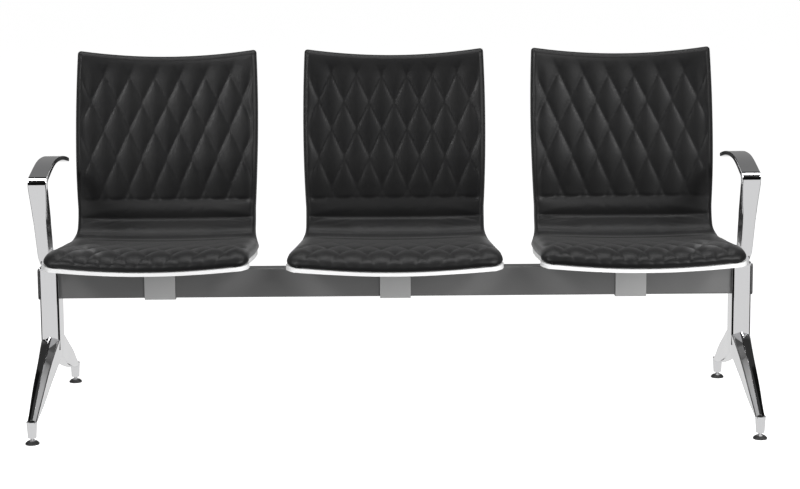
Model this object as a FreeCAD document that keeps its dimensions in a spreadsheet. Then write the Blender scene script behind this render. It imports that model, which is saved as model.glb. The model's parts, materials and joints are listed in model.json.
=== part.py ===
"""Three-seat beam seating: quilted seats on a steel beam, between two cast legs with armrests.

Frame: millimetres, +Z up, +X to the right of someone who looks at the seats from the front.
The front is -Y. The origin lies on the floor under the middle of the beam.
"""
import FreeCAD
import Part
import Sketcher
import math
import os

Vector = FreeCAD.Vector

SIZES = {
    # Beam: rectangular steel tube
    "beam_overhang": 35,
    "beam_height": 70,
    "beam_depth": 40,
    "beam_wall": 2.5,
    "beam_corner": 4,
    "beam_centre": 314,
    "fit_gap": 0.3,
    "thread_gap": 0.1,
    "bolt_hole_gap": 0.5,
    # End caps
    "cap_height": 75,
    "cap_depth": 44,
    "cap_thickness": 3.5,
    "cap_corner": 8,
    "cap_plug_length": 10,
    "cap_wall": 3,
    # Cast legs
    "leg_inset": 25,
    "column_width": 45,
    "column_depth": 66,
    "column_foot": 190,
    "column_edge": 5,
    "foot_reach": 300,
    "crotch_height": 134,
    "ankle_top_radius": 12.4,
    "ankle_low_radius": 10,
    "ankle_height": 52,
    "ankle_foot": 15,
    "stud_bore_spare": 12,
    "screw_bore_spare": 3,
    "limb_ridge": 7,
    "limb_edge": 4,
    "limb_ridge_round": 10,
    "limb_draft": 3,
    "limb_root_half": 22,
    "limb_root_top": 189,
    "limb_root_low": 122,
    "limb_root_reach": 33,
    "limb_knee_half": 19,
    "limb_knee_top": 168,
    "limb_knee_low": 103,
    "limb_knee_reach": 85,
    "limb_mid_half": 16.3,
    "limb_mid_top": 138,
    "limb_mid_low": 80,
    "limb_mid_reach": 150,
    "limb_shin_half": 13.4,
    "limb_shin_top": 94,
    "limb_shin_low": 54,
    "limb_shin_reach": 234,
    "limb_end_half": 12,
    "limb_end_top": 57,
    "limb_end_low": 41,
    # Armrests
    "arm_flange": 8,
    "arm_width": 42,
    "arm_stem_foot_half": 13,
    "arm_stem_waist_half": 15.2,
    "arm_waist_height": 480,
    "arm_shoulder_height": 566,
    "arm_crown": 611,
    "arm_crown_reach": 45,
    "arm_arch_radius": 700,
    "arm_arch_front": 145,
    "arm_arch_rear": 146,
    "arm_under_radius": 560,
    "arm_reach": 214,
    "arm_rear": 114,
    "arm_heel_reach": 88,
    "arm_heel_height": 386,
    "arm_knee_reach": 178,
    "arm_knee_drop": 114,
    "arm_root_reach": 50,
    "arm_root_height": 415,
    "arm_throat_reach": 178,
    "arm_throat_drop": 51,
    "arm_thickness": 16,
    "arm_tip_thickness": 10,
    "arm_tip_round": 4,
    "arm_bend": 18,
    "arm_inner_bend": 12,
    "arm_heel_round": 60,
    "arm_knee_round": 120,
    "arm_root_round": 40,
    "arm_toe_length": 40,
    "arm_toe_round": 14,
    "arm_foot_round": 6,
    "arm_waist_round": 120,
    "arm_shoulder_round": 60,
    "arm_edge": 2,
    # Bolts between leg, beam and arm
    "leg_bolt": 8,
    "leg_bolt_length": 25,
    "leg_bolt_spacing": 34,
    "nut_plate_thickness": 8,
    "nut_plate_width": 26,
    "nut_plate_height": 58,
    "arm_screw": 6,
    "arm_screw_length": 30,
    "arm_screw_spacing": 26,
    # Levelling glides
    "glide_radius": 16,
    "glide_height": 7,
    "glide_rim": 3,
    "glide_stud": 8,
    "glide_stud_length": 40,
    "glide_collar": 13,
    "glide_collar_height": 3,
    "glide_seat_depth": 3,
    # Seats
    "seat_pitch": 560,
    "seat_front_reach": 298,
    "seat_front_height": 385,
    "waterfall_length": 90,
    "waterfall_angle": 15,
    "seat_slope": 4,
    "seat_run": 285,
    "bend_radius": 100,
    "bend_angle": 90,
    "lumbar_length": 130,
    "lumbar_angle": 10,
    "back_length": 260,
    "back_angle": 2,
    "seat_bow": 25,
    "bow_fade": 225,
    "back_dip": 15,
    "seat_dish": 7,
    "back_dish": 12,
    "front_half": 252,
    "bend_half": 218,
    "top_half": 220.5,
    "back_bulge": 5,
    "front_corner": 50,
    "top_corner": 9,
    # Moulded shell
    "shell_thickness": 11,
    "shell_inset": 3,
    "section_step": 30,
    "boss_radius": 11,
    "boss_pitch_across": 140,
    "boss_pitch_along": 110,
    # Quilted pad
    "pad_gap": 1.1,
    "pad_seat": 31,
    "pad_bend": 20,
    "pad_back": 23,
    "pad_blend": 50,
    "pad_rim": 7,
    "pad_draw_in": 5,
    "pad_front_round": 36,
    "pad_top_round": 18,
    "pad_side_round": 12,
    "quilt_pitch": 62,
    "quilt_row": 144,
    "quilt_depth": 5,
    "seat_quilt_start": 6,
    "seat_quilt_end": 330,
    "back_quilt_start": 546,
    "band_depth": 1.75,
    # Seat brackets
    "plate_width": 200,
    "plate_depth": 170,
    "plate_thickness": 5,
    "plate_corner": 12,
    "strap_width": 73,
    "strap_thickness": 4,
    "strap_bend": 2,
    "strap_flange": 32,
    "strap_gap": 0.5,
    "clamp_bolt": 8,
    "clamp_bolt_length": 16,
    "clamp_bolt_spacing": 44,
    "clamp_nut_height": 6.5,
    "shell_screw": 6,
    "shell_screw_length": 16,
    "insert_gap": 0.1,
    "insert_radius": 5,
    "insert_height": 11,
}

doc = FreeCAD.newDocument("BeamSeating")
sheet = doc.addObject("Spreadsheet::Sheet", "Sizes")
for row, (alias, value) in enumerate(SIZES.items(), 1):
    sheet.set(f"A{row}", alias)
    sheet.set(f"B{row}", str(value))
    sheet.setAlias(f"B{row}", alias)
doc.recompute()

parts = []


def size(alias):
    """The value of one cell of the sheet."""
    return float(sheet.get(alias))


def keep(item):
    """Marks a sub-part as one that is written to a file."""
    parts.append(item)
    return item


# Sketch and body helpers


def new_body(label):
    body = doc.addObject("PartDesign::Body", label)
    body.Label = label
    return body


def origin_plane(body, role):
    return next(item for item in body.Origin.OriginFeatures if item.Role == role)


def bind(item, **formulas):
    """Binds properties to formulas; a double underscore stands for a dot in the property's path."""
    for path, formula in formulas.items():
        item.setExpression(path.replace("__", "."), formula)
    return item


def place(item, across="0", along="0", up="0"):
    """Puts an item at a place given by three formulas."""
    return bind(item, Placement__Base__x=across, Placement__Base__y=along, Placement__Base__z=up)


def new_sketch(body, name, role, across="0", up="0", out="0"):
    """A sketch on one of the body's origin planes, shifted in the plane and out of it."""
    sketch = body.newObject("Sketcher::SketchObject", name)
    sketch.AttachmentSupport = [(origin_plane(body, role), "")]
    sketch.MapMode = "FlatFace"
    offset = {"AttachmentOffset__Base__x": across}
    offset["AttachmentOffset__Base__y"] = up
    offset["AttachmentOffset__Base__z"] = out
    return bind(sketch, **offset)


def draw_loop(sketch, corners):
    """Closes straight lines through the corners."""
    first = sketch.GeometryCount
    for start, end in zip(corners, corners[1:] + corners[:1]):
        sketch.addGeometry(Part.LineSegment(start, end), False)
    count = len(corners)
    for step in range(count):
        following = first + (step + 1) % count
        sketch.addConstraint(Sketcher.Constraint("Coincident", first + step, 2, following, 1))
    return first


def measure(sketch, kind, places, name, formula, start):
    """Adds a named dimension that follows a formula."""
    index = sketch.addConstraint(Sketcher.Constraint(kind, *places, start))
    sketch.renameConstraint(index, name)
    sketch.setExpression("Constraints." + name, formula)


def rectangle(sketch, wide, high, tag=""):
    """A rectangle centred on the sketch's own origin."""
    guess = 10
    corners = [
        Vector(-guess, -guess, 0),
        Vector(guess, -guess, 0),
        Vector(guess, guess, 0),
        Vector(-guess, guess, 0),
    ]
    first = draw_loop(sketch, corners)
    for line in (0, 2):
        sketch.addConstraint(Sketcher.Constraint("Horizontal", first + line))
    for line in (1, 3):
        sketch.addConstraint(Sketcher.Constraint("Vertical", first + line))
    sketch.addConstraint(Sketcher.Constraint("Symmetric", first, 1, first + 2, 1, -1, 1))
    measure(sketch, "DistanceX", (first, 1, first, 2), "wide" + tag, wide, 2 * guess)
    measure(sketch, "DistanceY", (first + 1, 1, first + 1, 2), "high" + tag, high, 2 * guess)


def circle(sketch, radius, tag="", across="0", up="0"):
    """A circle at a place given by two formulas."""
    index = sketch.addGeometry(Part.Circle(Vector(1, 1, 0), Vector(0, 0, 1), 5), False)
    measure(sketch, "Radius", (index,), "radius" + tag, radius, 5)
    measure(sketch, "DistanceX", (-1, 1, index, 3), "across" + tag, across, 1)
    measure(sketch, "DistanceY", (-1, 1, index, 3), "up" + tag, up, 1)


def pad(body, sketch, length, both_ways=False):
    feature = body.newObject("PartDesign::Pad", sketch.Name + "Pad")
    feature.Profile = sketch
    if both_ways:
        feature.SideType = "Symmetric"
    return bind(feature, Length=length)


def pocket(body, sketch, length, both_ways=False, reverse=False):
    feature = body.newObject("PartDesign::Pocket", sketch.Name + "Pocket")
    feature.Profile = sketch
    feature.Reversed = reverse
    if both_ways:
        feature.SideType = "Symmetric"
    return bind(feature, Length=length)


def edges_along(shape, axis, test=None):
    """Names of the straight edges that run along an axis and pass the test."""
    names = []
    for index, edge in enumerate(shape.Edges, 1):
        if edge.Curve.TypeId != "Part::GeomLine":
            continue
        if edge.Curve.Direction.cross(axis).Length > 1e-6:
            continue
        if test is None or test(edge):
            names.append(f"Edge{index}")
    return names


def fillet(body, base, names, radius):
    feature = body.newObject("PartDesign::Fillet", base.Name + "Fillet")
    feature.Base = (base, names)
    return bind(feature, Radius=radius)


ALONG_X = Vector(1, 0, 0)
ALONG_Y = Vector(0, 1, 0)
ALONG_Z = Vector(0, 0, 1)


# Outline helpers for the shapes that Part's own functions make


def rounded_outline(corners, to_space):
    """A closed wire through corners (a, b, radius), with a tangent arc at each rounded one."""
    count = len(corners)
    stations = []
    for index, (a, b, radius) in enumerate(corners):
        corner = Vector(a, b, 0)
        before = Vector(*corners[index - 1][:2], 0) - corner
        after = Vector(*corners[(index + 1) % count][:2], 0) - corner
        before.normalize()
        after.normalize()
        if radius == 0:
            stations.append((corner, None, corner))
            continue
        half = before.getAngle(after) / 2
        bisector = before + after
        bisector.normalize()
        tangent = radius / math.tan(half)
        middle = corner + bisector * (radius / math.sin(half) - radius)
        stations.append((corner + before * tangent, middle, corner + after * tangent))
    edges = []
    for index, (start, middle, end) in enumerate(stations):
        if middle is not None:
            edges.append(Part.Arc(*(to_space(point) for point in (start, middle, end))).toShape())
        following = stations[(index + 1) % count][0]
        if end.distanceToPoint(following) > 1e-6:
            edges.append(Part.LineSegment(to_space(end), to_space(following)).toShape())
    return Part.Wire(edges)


def prism(corners, to_space, depth):
    """A rounded outline swept along a vector."""
    return Part.Face(rounded_outline(corners, to_space)).extrude(depth)


def side_view(offset):
    return lambda point: Vector(offset, point.x, point.y)


def front_view(offset):
    return lambda point: Vector(point.x, offset, point.y)


def plan_view(offset):
    return lambda point: Vector(point.x, point.y, offset)


def feature(label, shape, across=0.0):
    """A sub-part whose shape Part's own functions made."""
    item = doc.addObject("Part::Feature", label)
    item.Label = label
    item.Shape = shape
    item.Placement = FreeCAD.Placement(Vector(across, 0, 0), FreeCAD.Rotation())
    return keep(item)


# Fasteners: each is made at the origin, with its head's seat at z = 0 and its shank pointing down.
# The proportions are shares of the thread's diameter.


HEAD_RADIUS = 0.8
SOCKET_RADIUS = 0.43
SOCKET_FLOOR = 0.5
NUT_RADIUS = 0.92


def part_object(kind, name, **formulas):
    return bind(doc.addObject(kind, name), **formulas)


def socket_screw(name, diameter, length):
    """A cylinder-head screw with a hexagon socket."""
    shank = part_object("Part::Cylinder", name + "_shank", Radius=f"{diameter} / 2", Height=length)
    place(shank, up=f"-({length})")
    head_radius = f"{diameter} * {HEAD_RADIUS}"
    head = part_object("Part::Cylinder", name + "_head", Radius=head_radius, Height=diameter)
    socket = part_object(
        "Part::Prism",
        name + "_socket",
        Circumradius=f"{diameter} * {SOCKET_RADIUS}",
        Height=diameter,
    )
    place(socket, up=f"{diameter} * {SOCKET_FLOOR}")
    body = doc.addObject("Part::MultiFuse", name + "_solid")
    body.Shapes = [shank, head]
    screw = doc.addObject("Part::Cut", name)
    screw.Base = body
    screw.Tool = socket
    return screw


def hex_nut(name, diameter, height):
    """A hexagon nut that stands on z = 0."""
    outside = part_object(
        "Part::Prism", name + "_hexagon", Circumradius=f"{diameter} * {NUT_RADIUS}", Height=height
    )
    bore = part_object(
        "Part::Cylinder",
        name + "_bore",
        Radius=f"{diameter} / 2 + Sizes.thread_gap",
        Height=height,
    )
    nut = doc.addObject("Part::Cut", name)
    nut.Base = outside
    nut.Tool = bore
    return nut


def group(label, members):
    """One node that holds several identical, separate pieces."""
    item = doc.addObject("Part::Compound", label)
    item.Label = label
    item.Links = members
    return keep(item)


# Levels and places that several pieces share

BEAM_TOP = "(Sizes.beam_centre + Sizes.beam_height / 2)"
SADDLE_TOP = f"({BEAM_TOP} + Sizes.fit_gap)"
BEAM_HALF = "(Sizes.seat_pitch + Sizes.front_half + Sizes.beam_overhang)"
LEG_PLANE = f"({BEAM_HALF} - Sizes.leg_inset)"
BEAM_BACK = "(Sizes.beam_depth / 2)"
CHEEK_MIDDLE = "((Sizes.column_depth / 2 + Sizes.beam_depth / 2 + Sizes.fit_gap) / 2)"
STRAP_BACK = "(Sizes.beam_depth / 2 + Sizes.fit_gap + Sizes.strap_thickness)"
CLAMP_LINE = f"({STRAP_BACK} + Sizes.strap_flange / 2)"

SIDES = {"left": -1, "right": 1}
SEATS = {"left": -1, "centre": 0, "right": 1}


# Beam


def make_beam():
    body = new_body("beam_tube")
    outside = new_sketch(body, "TubeOutside", "YZ_Plane", up="Sizes.beam_centre")
    rectangle(outside, "Sizes.beam_depth", "Sizes.beam_height")
    tube = pad(body, outside, f"2 * {BEAM_HALF}", both_ways=True)
    doc.recompute()
    rounded = fillet(body, tube, edges_along(tube.Shape, ALONG_X), "Sizes.beam_corner")
    rounded.Label = "TubeCorners"
    inside = new_sketch(body, "TubeInside", "YZ_Plane", up="Sizes.beam_centre")
    rectangle(
        inside,
        "Sizes.beam_depth - 2 * Sizes.beam_wall",
        "Sizes.beam_height - 2 * Sizes.beam_wall",
    )
    hollow = pocket(body, inside, f"3 * {BEAM_HALF}", both_ways=True)
    doc.recompute()

    def is_inner(edge):
        return abs(edge.BoundBox.YMax) < size("beam_depth") / 2 - size("beam_wall") / 2

    inner = [
        name
        for name in edges_along(hollow.Shape, ALONG_X, is_inner)
        if abs(hollow.Shape.getElement(name).BoundBox.ZMin - size("beam_centre"))
        < size("beam_height") / 2 - size("beam_wall") / 2
    ]
    fillet(body, hollow, inner, "Sizes.beam_corner - Sizes.beam_wall").Label = "TubeInnerCorners"
    holes = new_sketch(body, "LegBoltHoles", "XZ_Plane", up="Sizes.beam_centre", out=f"-{BEAM_BACK}")
    for side, sign in SIDES.items():
        for level, up in (("Low", -1), ("High", 1)):
            circle(
                holes,
                "Sizes.leg_bolt / 2 + Sizes.bolt_hole_gap",
                side + level,
                f"{sign} * {LEG_PLANE}",
                f"{up} * Sizes.leg_bolt_spacing / 2",
            )
    pocket(body, holes, "Sizes.beam_wall * 2", reverse=True)
    return keep(body)


def make_end_cap(side, sign):
    """A moulded cap: an outer plate with rounded corners and a hollow plug inside the tube."""
    body = new_body(f"beam_end_cap_{side}")
    plate = new_sketch(body, "Plate", "YZ_Plane", up="Sizes.beam_centre")
    rectangle(plate, "Sizes.cap_depth", "Sizes.cap_height")
    slab = pad(body, plate, "Sizes.cap_thickness")
    doc.recompute()
    corners = fillet(body, slab, edges_along(slab.Shape, ALONG_X), "Sizes.cap_corner")
    doc.recompute()
    rim = [
        f"Edge{index}"
        for index, edge in enumerate(corners.Shape.Edges, 1)
        if edge.BoundBox.XMin > size("cap_thickness") - 1e-6
    ]
    fillet(body, corners, rim, "Sizes.cap_thickness * 0.6").Label = "CapRim"
    plug = new_sketch(body, "Plug", "YZ_Plane", up="Sizes.beam_centre")
    rectangle(
        plug,
        "Sizes.beam_depth - 2 * Sizes.beam_wall - 2 * Sizes.fit_gap",
        "Sizes.beam_height - 2 * Sizes.beam_wall - 2 * Sizes.fit_gap",
    )
    block = pad(body, plug, "Sizes.cap_plug_length")
    block.Reversed = True
    doc.recompute()

    def is_plug(edge):
        return edge.BoundBox.XMin < -size("cap_plug_length") / 2

    plug_edges = edges_along(block.Shape, ALONG_X, is_plug)
    fillet(body, block, plug_edges, "Sizes.beam_corner - Sizes.beam_wall").Label = "PlugCorners"
    hollow = new_sketch(body, "PlugHollow", "YZ_Plane", up="Sizes.beam_centre", out="-Sizes.cap_plug_length")
    wall = "2 * Sizes.beam_wall - 2 * Sizes.fit_gap - 2 * Sizes.cap_wall"
    rectangle(hollow, f"Sizes.beam_depth - {wall}", f"Sizes.beam_height - {wall}")
    pocket(body, hollow, "Sizes.cap_plug_length", reverse=True)
    body.Placement.Rotation = FreeCAD.Rotation(ALONG_Z, 0 if sign > 0 else 180)
    place(body, across=f"{sign} * {BEAM_HALF}")
    return keep(body)


# Cast legs


def limb_section(body, name, reach, half, low, top):
    """One cross-section of a limb: a drafted box under a low roof with its ridge in the middle."""
    sketch = new_sketch(body, name, "XZ_Plane", out=reach)
    corners = [
        Vector(-10, 60, 0),
        Vector(10, 60, 0),
        Vector(12, 80, 0),
        Vector(0, 90, 0),
        Vector(-12, 80, 0),
    ]
    first = draw_loop(sketch, corners)
    for left, right in ((0, 1), (4, 2)):
        sketch.addConstraint(Sketcher.Constraint("Symmetric", first + left, 1, first + right, 1, -2))
    sketch.addConstraint(Sketcher.Constraint("PointOnObject", first + 3, 1, -2))
    measure(sketch, "DistanceX", (-1, 1, first + 1, 1), "foot", f"{half} - Sizes.limb_draft", 10)
    measure(sketch, "DistanceX", (-1, 1, first + 2, 1), "shoulder", half, 12)
    measure(sketch, "DistanceY", (-1, 1, first + 1, 1), "low", low, 60)
    measure(sketch, "DistanceY", (-1, 1, first + 2, 1), "eaves", f"{top} - Sizes.limb_ridge", 80)
    measure(sketch, "DistanceY", (-1, 1, first + 3, 1), "ridge", top, 90)
    return sketch


def mirror_in_y(body, name, originals):
    """Repeats features behind the middle plane."""
    copy = body.newObject("PartDesign::Mirrored", name)
    copy.Originals = originals
    copy.MirrorPlane = (origin_plane(body, "XZ_Plane"), [""])
    body.Tip = copy
    return copy


def limb_edges(shape, on_ridge):
    """Names of the edges that run along the two limbs: the ridges, or all the others."""
    names = []
    for index, edge in enumerate(shape.Edges, 1):
        box = edge.BoundBox
        is_ridge = max(box.XMax, -box.XMin) < size("limb_ridge_round") / 2
        if box.YLength > size("foot_reach") / 2 and is_ridge == on_ridge:
            names.append(f"Edge{index}")
    return names


def make_leg(side, sign):
    """A casting: a saddle column round the beam, with a front and a rear limb that end in ankles."""
    body = new_body(f"leg_{side}")
    outline = new_sketch(body, "Column", "XY_Plane", out="Sizes.column_foot - Sizes.column_depth / 2")
    rectangle(outline, "Sizes.column_width", "Sizes.column_depth")
    column = pad(
        body, outline, f"{SADDLE_TOP} - Sizes.column_foot + Sizes.column_depth / 2"
    )
    doc.recompute()
    edges = fillet(body, column, edges_along(column.Shape, ALONG_Z), "Sizes.column_edge")
    edges.Label = "ColumnEdges"
    sections = [
        limb_section(
            body,
            "LimbMiddle",
            "0",
            "Sizes.limb_root_half",
            "Sizes.crotch_height",
            "Sizes.limb_root_top + Sizes.limb_ridge",
        )
    ]
    for name in ("root", "knee", "mid", "shin"):
        sections.append(
            limb_section(
                body,
                "Limb" + name.title(),
                f"Sizes.limb_{name}_reach",
                f"Sizes.limb_{name}_half",
                f"Sizes.limb_{name}_low",
                f"Sizes.limb_{name}_top",
            )
        )
    sections.append(
        limb_section(
            body,
            "LimbEnd",
            "Sizes.foot_reach",
            "Sizes.limb_end_half",
            "Sizes.limb_end_low",
            "Sizes.limb_end_top",
        )
    )
    limb = body.newObject("PartDesign::AdditiveLoft", "Limb")
    limb.Profile = sections[0]
    limb.Sections = sections[1:]
    rear_limb = mirror_in_y(body, "RearLimb", [limb])
    doc.recompute()
    rounded = fillet(body, rear_limb, limb_edges(rear_limb.Shape, False), "Sizes.limb_edge")
    rounded.Label = "LimbEdges"
    doc.recompute()
    crowned = fillet(body, rounded, limb_edges(rounded.Shape, True), "Sizes.limb_ridge_round")
    crowned.Label = "LimbRidges"
    doc.recompute()
    ankle_sketch = new_sketch(body, "Ankle", "YZ_Plane", across="-Sizes.foot_reach")
    ankle_corners = [Vector(0, 15, 0), Vector(10, 15, 0), Vector(12, 50, 0), Vector(0, 50, 0)]
    first = draw_loop(ankle_sketch, ankle_corners)
    for line in (0, 2):
        ankle_sketch.addConstraint(Sketcher.Constraint("Horizontal", first + line))
    for corner in (0, 3):
        ankle_sketch.addConstraint(Sketcher.Constraint("PointOnObject", first + corner, 1, -2))
    measure(ankle_sketch, "DistanceX", (-1, 1, first + 1, 1), "low_radius", "Sizes.ankle_low_radius", 10)
    measure(ankle_sketch, "DistanceX", (-1, 1, first + 2, 1), "top_radius", "Sizes.ankle_top_radius", 12)
    measure(ankle_sketch, "DistanceY", (-1, 1, first, 1), "foot", "Sizes.ankle_foot", 15)
    measure(ankle_sketch, "DistanceY", (-1, 1, first + 3, 1), "top", "Sizes.ankle_height", 50)
    ankle = body.newObject("PartDesign::Revolution", "AnkleTurn")
    ankle.Profile = ankle_sketch
    ankle.ReferenceAxis = (ankle_sketch, ["V_Axis"])
    ankle.Angle = 360
    bore_sketch = new_sketch(
        body, "StudBore", "XY_Plane", up="-Sizes.foot_reach", out="Sizes.ankle_foot"
    )
    circle(bore_sketch, "Sizes.glide_stud / 2 + Sizes.thread_gap")
    depth = "Sizes.glide_stud_length - Sizes.ankle_foot + Sizes.stud_bore_spare"
    bore = pocket(body, bore_sketch, depth, reverse=True)
    mirror_in_y(body, "RearAnkle", [ankle, bore])
    saddle = new_sketch(body, "Saddle", "YZ_Plane", up="Sizes.beam_centre + Sizes.fit_gap")
    rectangle(
        saddle,
        "Sizes.beam_depth + 2 * Sizes.fit_gap",
        "Sizes.beam_height + 4 * Sizes.fit_gap",
    )
    body.Tip = pocket(body, saddle, "Sizes.column_width * 2", both_ways=True)
    cheek = new_sketch(
        body, "CheekHoles", "XZ_Plane", up="Sizes.beam_centre", out="-Sizes.column_depth / 2"
    )
    tapped = new_sketch(body, "ArmScrewBores", "XY_Plane", up=CHEEK_MIDDLE, out=SADDLE_TOP)
    for name, direction in (("First", -1), ("Second", 1)):
        circle(
            cheek,
            "Sizes.leg_bolt / 2 + Sizes.bolt_hole_gap",
            name,
            up=f"{direction} * Sizes.leg_bolt_spacing / 2",
        )
        circle(
            tapped,
            "Sizes.arm_screw / 2 + Sizes.thread_gap",
            name,
            across=f"{direction} * Sizes.arm_screw_spacing / 2",
        )
    pocket(body, cheek, "(Sizes.column_depth - Sizes.beam_depth) / 2 + Sizes.beam_wall", reverse=True)
    grip = "Sizes.arm_screw_length - Sizes.arm_flange"
    body.Tip = pocket(body, tapped, f"{grip} + Sizes.screw_bore_spare")
    place(body, across=f"{sign} * {LEG_PLANE}")
    return keep(body)


def make_nut_plate(side, sign):
    """A tapped bar inside the tube that the leg's two bolts draw against the tube's rear wall."""
    body = new_body(f"beam_nut_plate_{side}")
    sketch = new_sketch(
        body,
        "Bar",
        "XZ_Plane",
        up="Sizes.beam_centre",
        out="-(Sizes.beam_depth / 2 - Sizes.beam_wall)",
    )
    rectangle(sketch, "Sizes.nut_plate_width", "Sizes.nut_plate_height")
    for name, direction in (("Low", -1), ("High", 1)):
        circle(
            sketch,
            "Sizes.leg_bolt / 2 + Sizes.thread_gap",
            name,
            up=f"{direction} * Sizes.leg_bolt_spacing / 2",
        )
    pad(body, sketch, "Sizes.nut_plate_thickness")
    place(body, across=f"{sign} * {LEG_PLANE}")
    return keep(body)


def make_leg_bolts(side, sign):
    """Two horizontal bolts from behind, through the rear cheek and the tube's wall."""
    bolts = []
    for level, up in (("low", -1), ("high", 1)):
        bolt = socket_screw(f"leg_bolt_{side}_{level}", "Sizes.leg_bolt", "Sizes.leg_bolt_length")
        bolt.Placement.Rotation = FreeCAD.Rotation(ALONG_X, -90)
        place(
            bolt,
            f"{sign} * {LEG_PLANE}",
            "Sizes.column_depth / 2",
            f"Sizes.beam_centre + {up} * Sizes.leg_bolt_spacing / 2",
        )
        bolts.append(bolt)
    return group(f"leg_bolts_{side}", bolts)


def make_arm_screws(side, sign):
    """Two screws down through the arm's flange into the rear cheek."""
    screws = []
    for name, direction in (("outer", sign), ("inner", -sign)):
        screw = socket_screw(f"arm_screw_{side}_{name}", "Sizes.arm_screw", "Sizes.arm_screw_length")
        place(
            screw,
            f"{sign} * {LEG_PLANE} + {direction} * Sizes.arm_screw_spacing / 2",
            CHEEK_MIDDLE,
            f"{SADDLE_TOP} + Sizes.arm_flange",
        )
        screws.append(screw)
    return group(f"arm_screws_{side}", screws)


# Armrests


def saddle_top():
    return size("beam_centre") + size("beam_height") / 2 + size("fit_gap")


def meet(first, along_first, second, along_second):
    """Where two lines in the plane cross, each given by a point and a direction."""
    apart = second - first
    turn = along_first.x * along_second.y - along_first.y * along_second.x
    return first + along_first * ((apart.x * along_second.y - apart.y * along_second.x) / turn)


def arch_tangent(along):
    """Where the arch of the armrest's top ends, at a distance from its crown, and its direction there."""
    radius = size("arm_arch_radius")
    drop = radius - math.sqrt(radius**2 - along**2)
    place = Vector(along - size("arm_crown_reach"), size("arm_crown") - drop, 0)
    return place, Vector(math.sqrt(radius**2 - along**2), -along, 0)


def arm_side_outline():
    """The armrest seen from the side: flange, bent stem, tight bend and arched rest."""
    foot = saddle_top()
    flange_top = foot + size("arm_flange")
    half_depth = size("column_depth") / 2
    crown = size("arm_crown")
    front_end, front_slope = arch_tangent(-size("arm_arch_front"))
    rear_end, rear_slope = arch_tangent(size("arm_arch_rear"))
    crest = meet(front_end, front_slope, rear_end, rear_slope)
    nose = crest - front_slope * ((crest.x + size("arm_reach")) / front_slope.x)
    rear = crest + rear_slope * ((size("arm_rear") - crest.x) / rear_slope.x)
    heel = Vector(-size("arm_heel_reach"), size("arm_heel_height"), 0)
    knee = Vector(-size("arm_knee_reach"), crown - size("arm_knee_drop"), 0)
    root = Vector(-size("arm_root_reach"), size("arm_root_height"), 0)
    throat = Vector(-size("arm_throat_reach"), crown - size("arm_throat_drop"), 0)
    under_crest = crest - Vector(0, size("arm_thickness"), 0)
    under_nose = meet(root, throat - root, under_crest, front_slope)
    round_tip = size("arm_tip_round")
    return [
        (-half_depth, foot, 0),
        (heel.x, heel.y, size("arm_heel_round")),
        (knee.x, knee.y, size("arm_knee_round")),
        (nose.x, nose.y, size("arm_bend")),
        (crest.x, crest.y, size("arm_arch_radius")),
        (rear.x, rear.y, round_tip),
        (rear.x, rear.y - size("arm_tip_thickness"), round_tip),
        (under_crest.x, under_crest.y, size("arm_under_radius")),
        (under_nose.x, under_nose.y, size("arm_inner_bend")),
        (root.x, root.y, size("arm_root_round")),
        (root.x + size("arm_toe_length"), flange_top, size("arm_toe_round")),
        (half_depth, flange_top, size("arm_flange") / 4),
        (half_depth, foot, 0),
    ]


def arm_width_outline(sign):
    """What is cut from one side of the armrest, seen from the front: it waists the stem."""
    flange_top = saddle_top() + size("arm_flange")
    half = size("arm_width") / 2
    beyond = half * 2
    above = size("arm_crown") + 2 * half
    return [
        (sign * beyond, flange_top, 0),
        (sign * size("arm_stem_foot_half"), flange_top, size("arm_foot_round")),
        (sign * size("arm_stem_waist_half"), size("arm_waist_height"), size("arm_waist_round")),
        (sign * half, size("arm_shoulder_height"), size("arm_shoulder_round")),
        (sign * half, above, 0),
        (sign * beyond, above, 0),
    ]


CREASE = 20


def creased_edges(shape, above):
    """The edges over a level at which two faces meet at an angle."""
    edges = []
    for edge in shape.Edges:
        if edge.BoundBox.ZMin < above:
            continue
        middle = edge.valueAt(sum(edge.ParameterRange) / 2)
        normals = []
        for face in shape.ancestorsOfType(edge, Part.Face):
            normals.append(face.normalAt(*face.Surface.parameter(middle)))
        if math.degrees(normals[0].getAngle(normals[-1])) > CREASE:
            edges.append(edge)
    return edges


def make_arm(side, sign):
    half = size("arm_width") / 2
    blade = prism(arm_side_outline(), side_view(-half), Vector(2 * half, 0, 0))
    reach = 2 * size("arm_reach")
    for direction in (-1, 1):
        waste = prism(arm_width_outline(direction), front_view(-reach), Vector(0, 2 * reach, 0))
        blade = blade.cut(waste)
    foot = saddle_top()
    above = foot + size("arm_flange") + size("arm_foot_round") / 2
    blade = blade.makeFillet(size("arm_edge"), creased_edges(blade, above))
    cheek = (size("column_depth") / 2 + size("beam_depth") / 2 + size("fit_gap")) / 2
    for direction in (-1, 1):
        hole = Part.makeCylinder(
            size("arm_screw") / 2 + size("bolt_hole_gap"),
            size("arm_flange") * 3,
            Vector(direction * size("arm_screw_spacing") / 2, cheek, foot - size("arm_flange")),
        )
        blade = blade.cut(hole)
    plane = size("seat_pitch") + size("front_half") + size("beam_overhang") - size("leg_inset")
    return feature(f"arm_{side}", blade, sign * plane)


# Levelling glides


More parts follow.
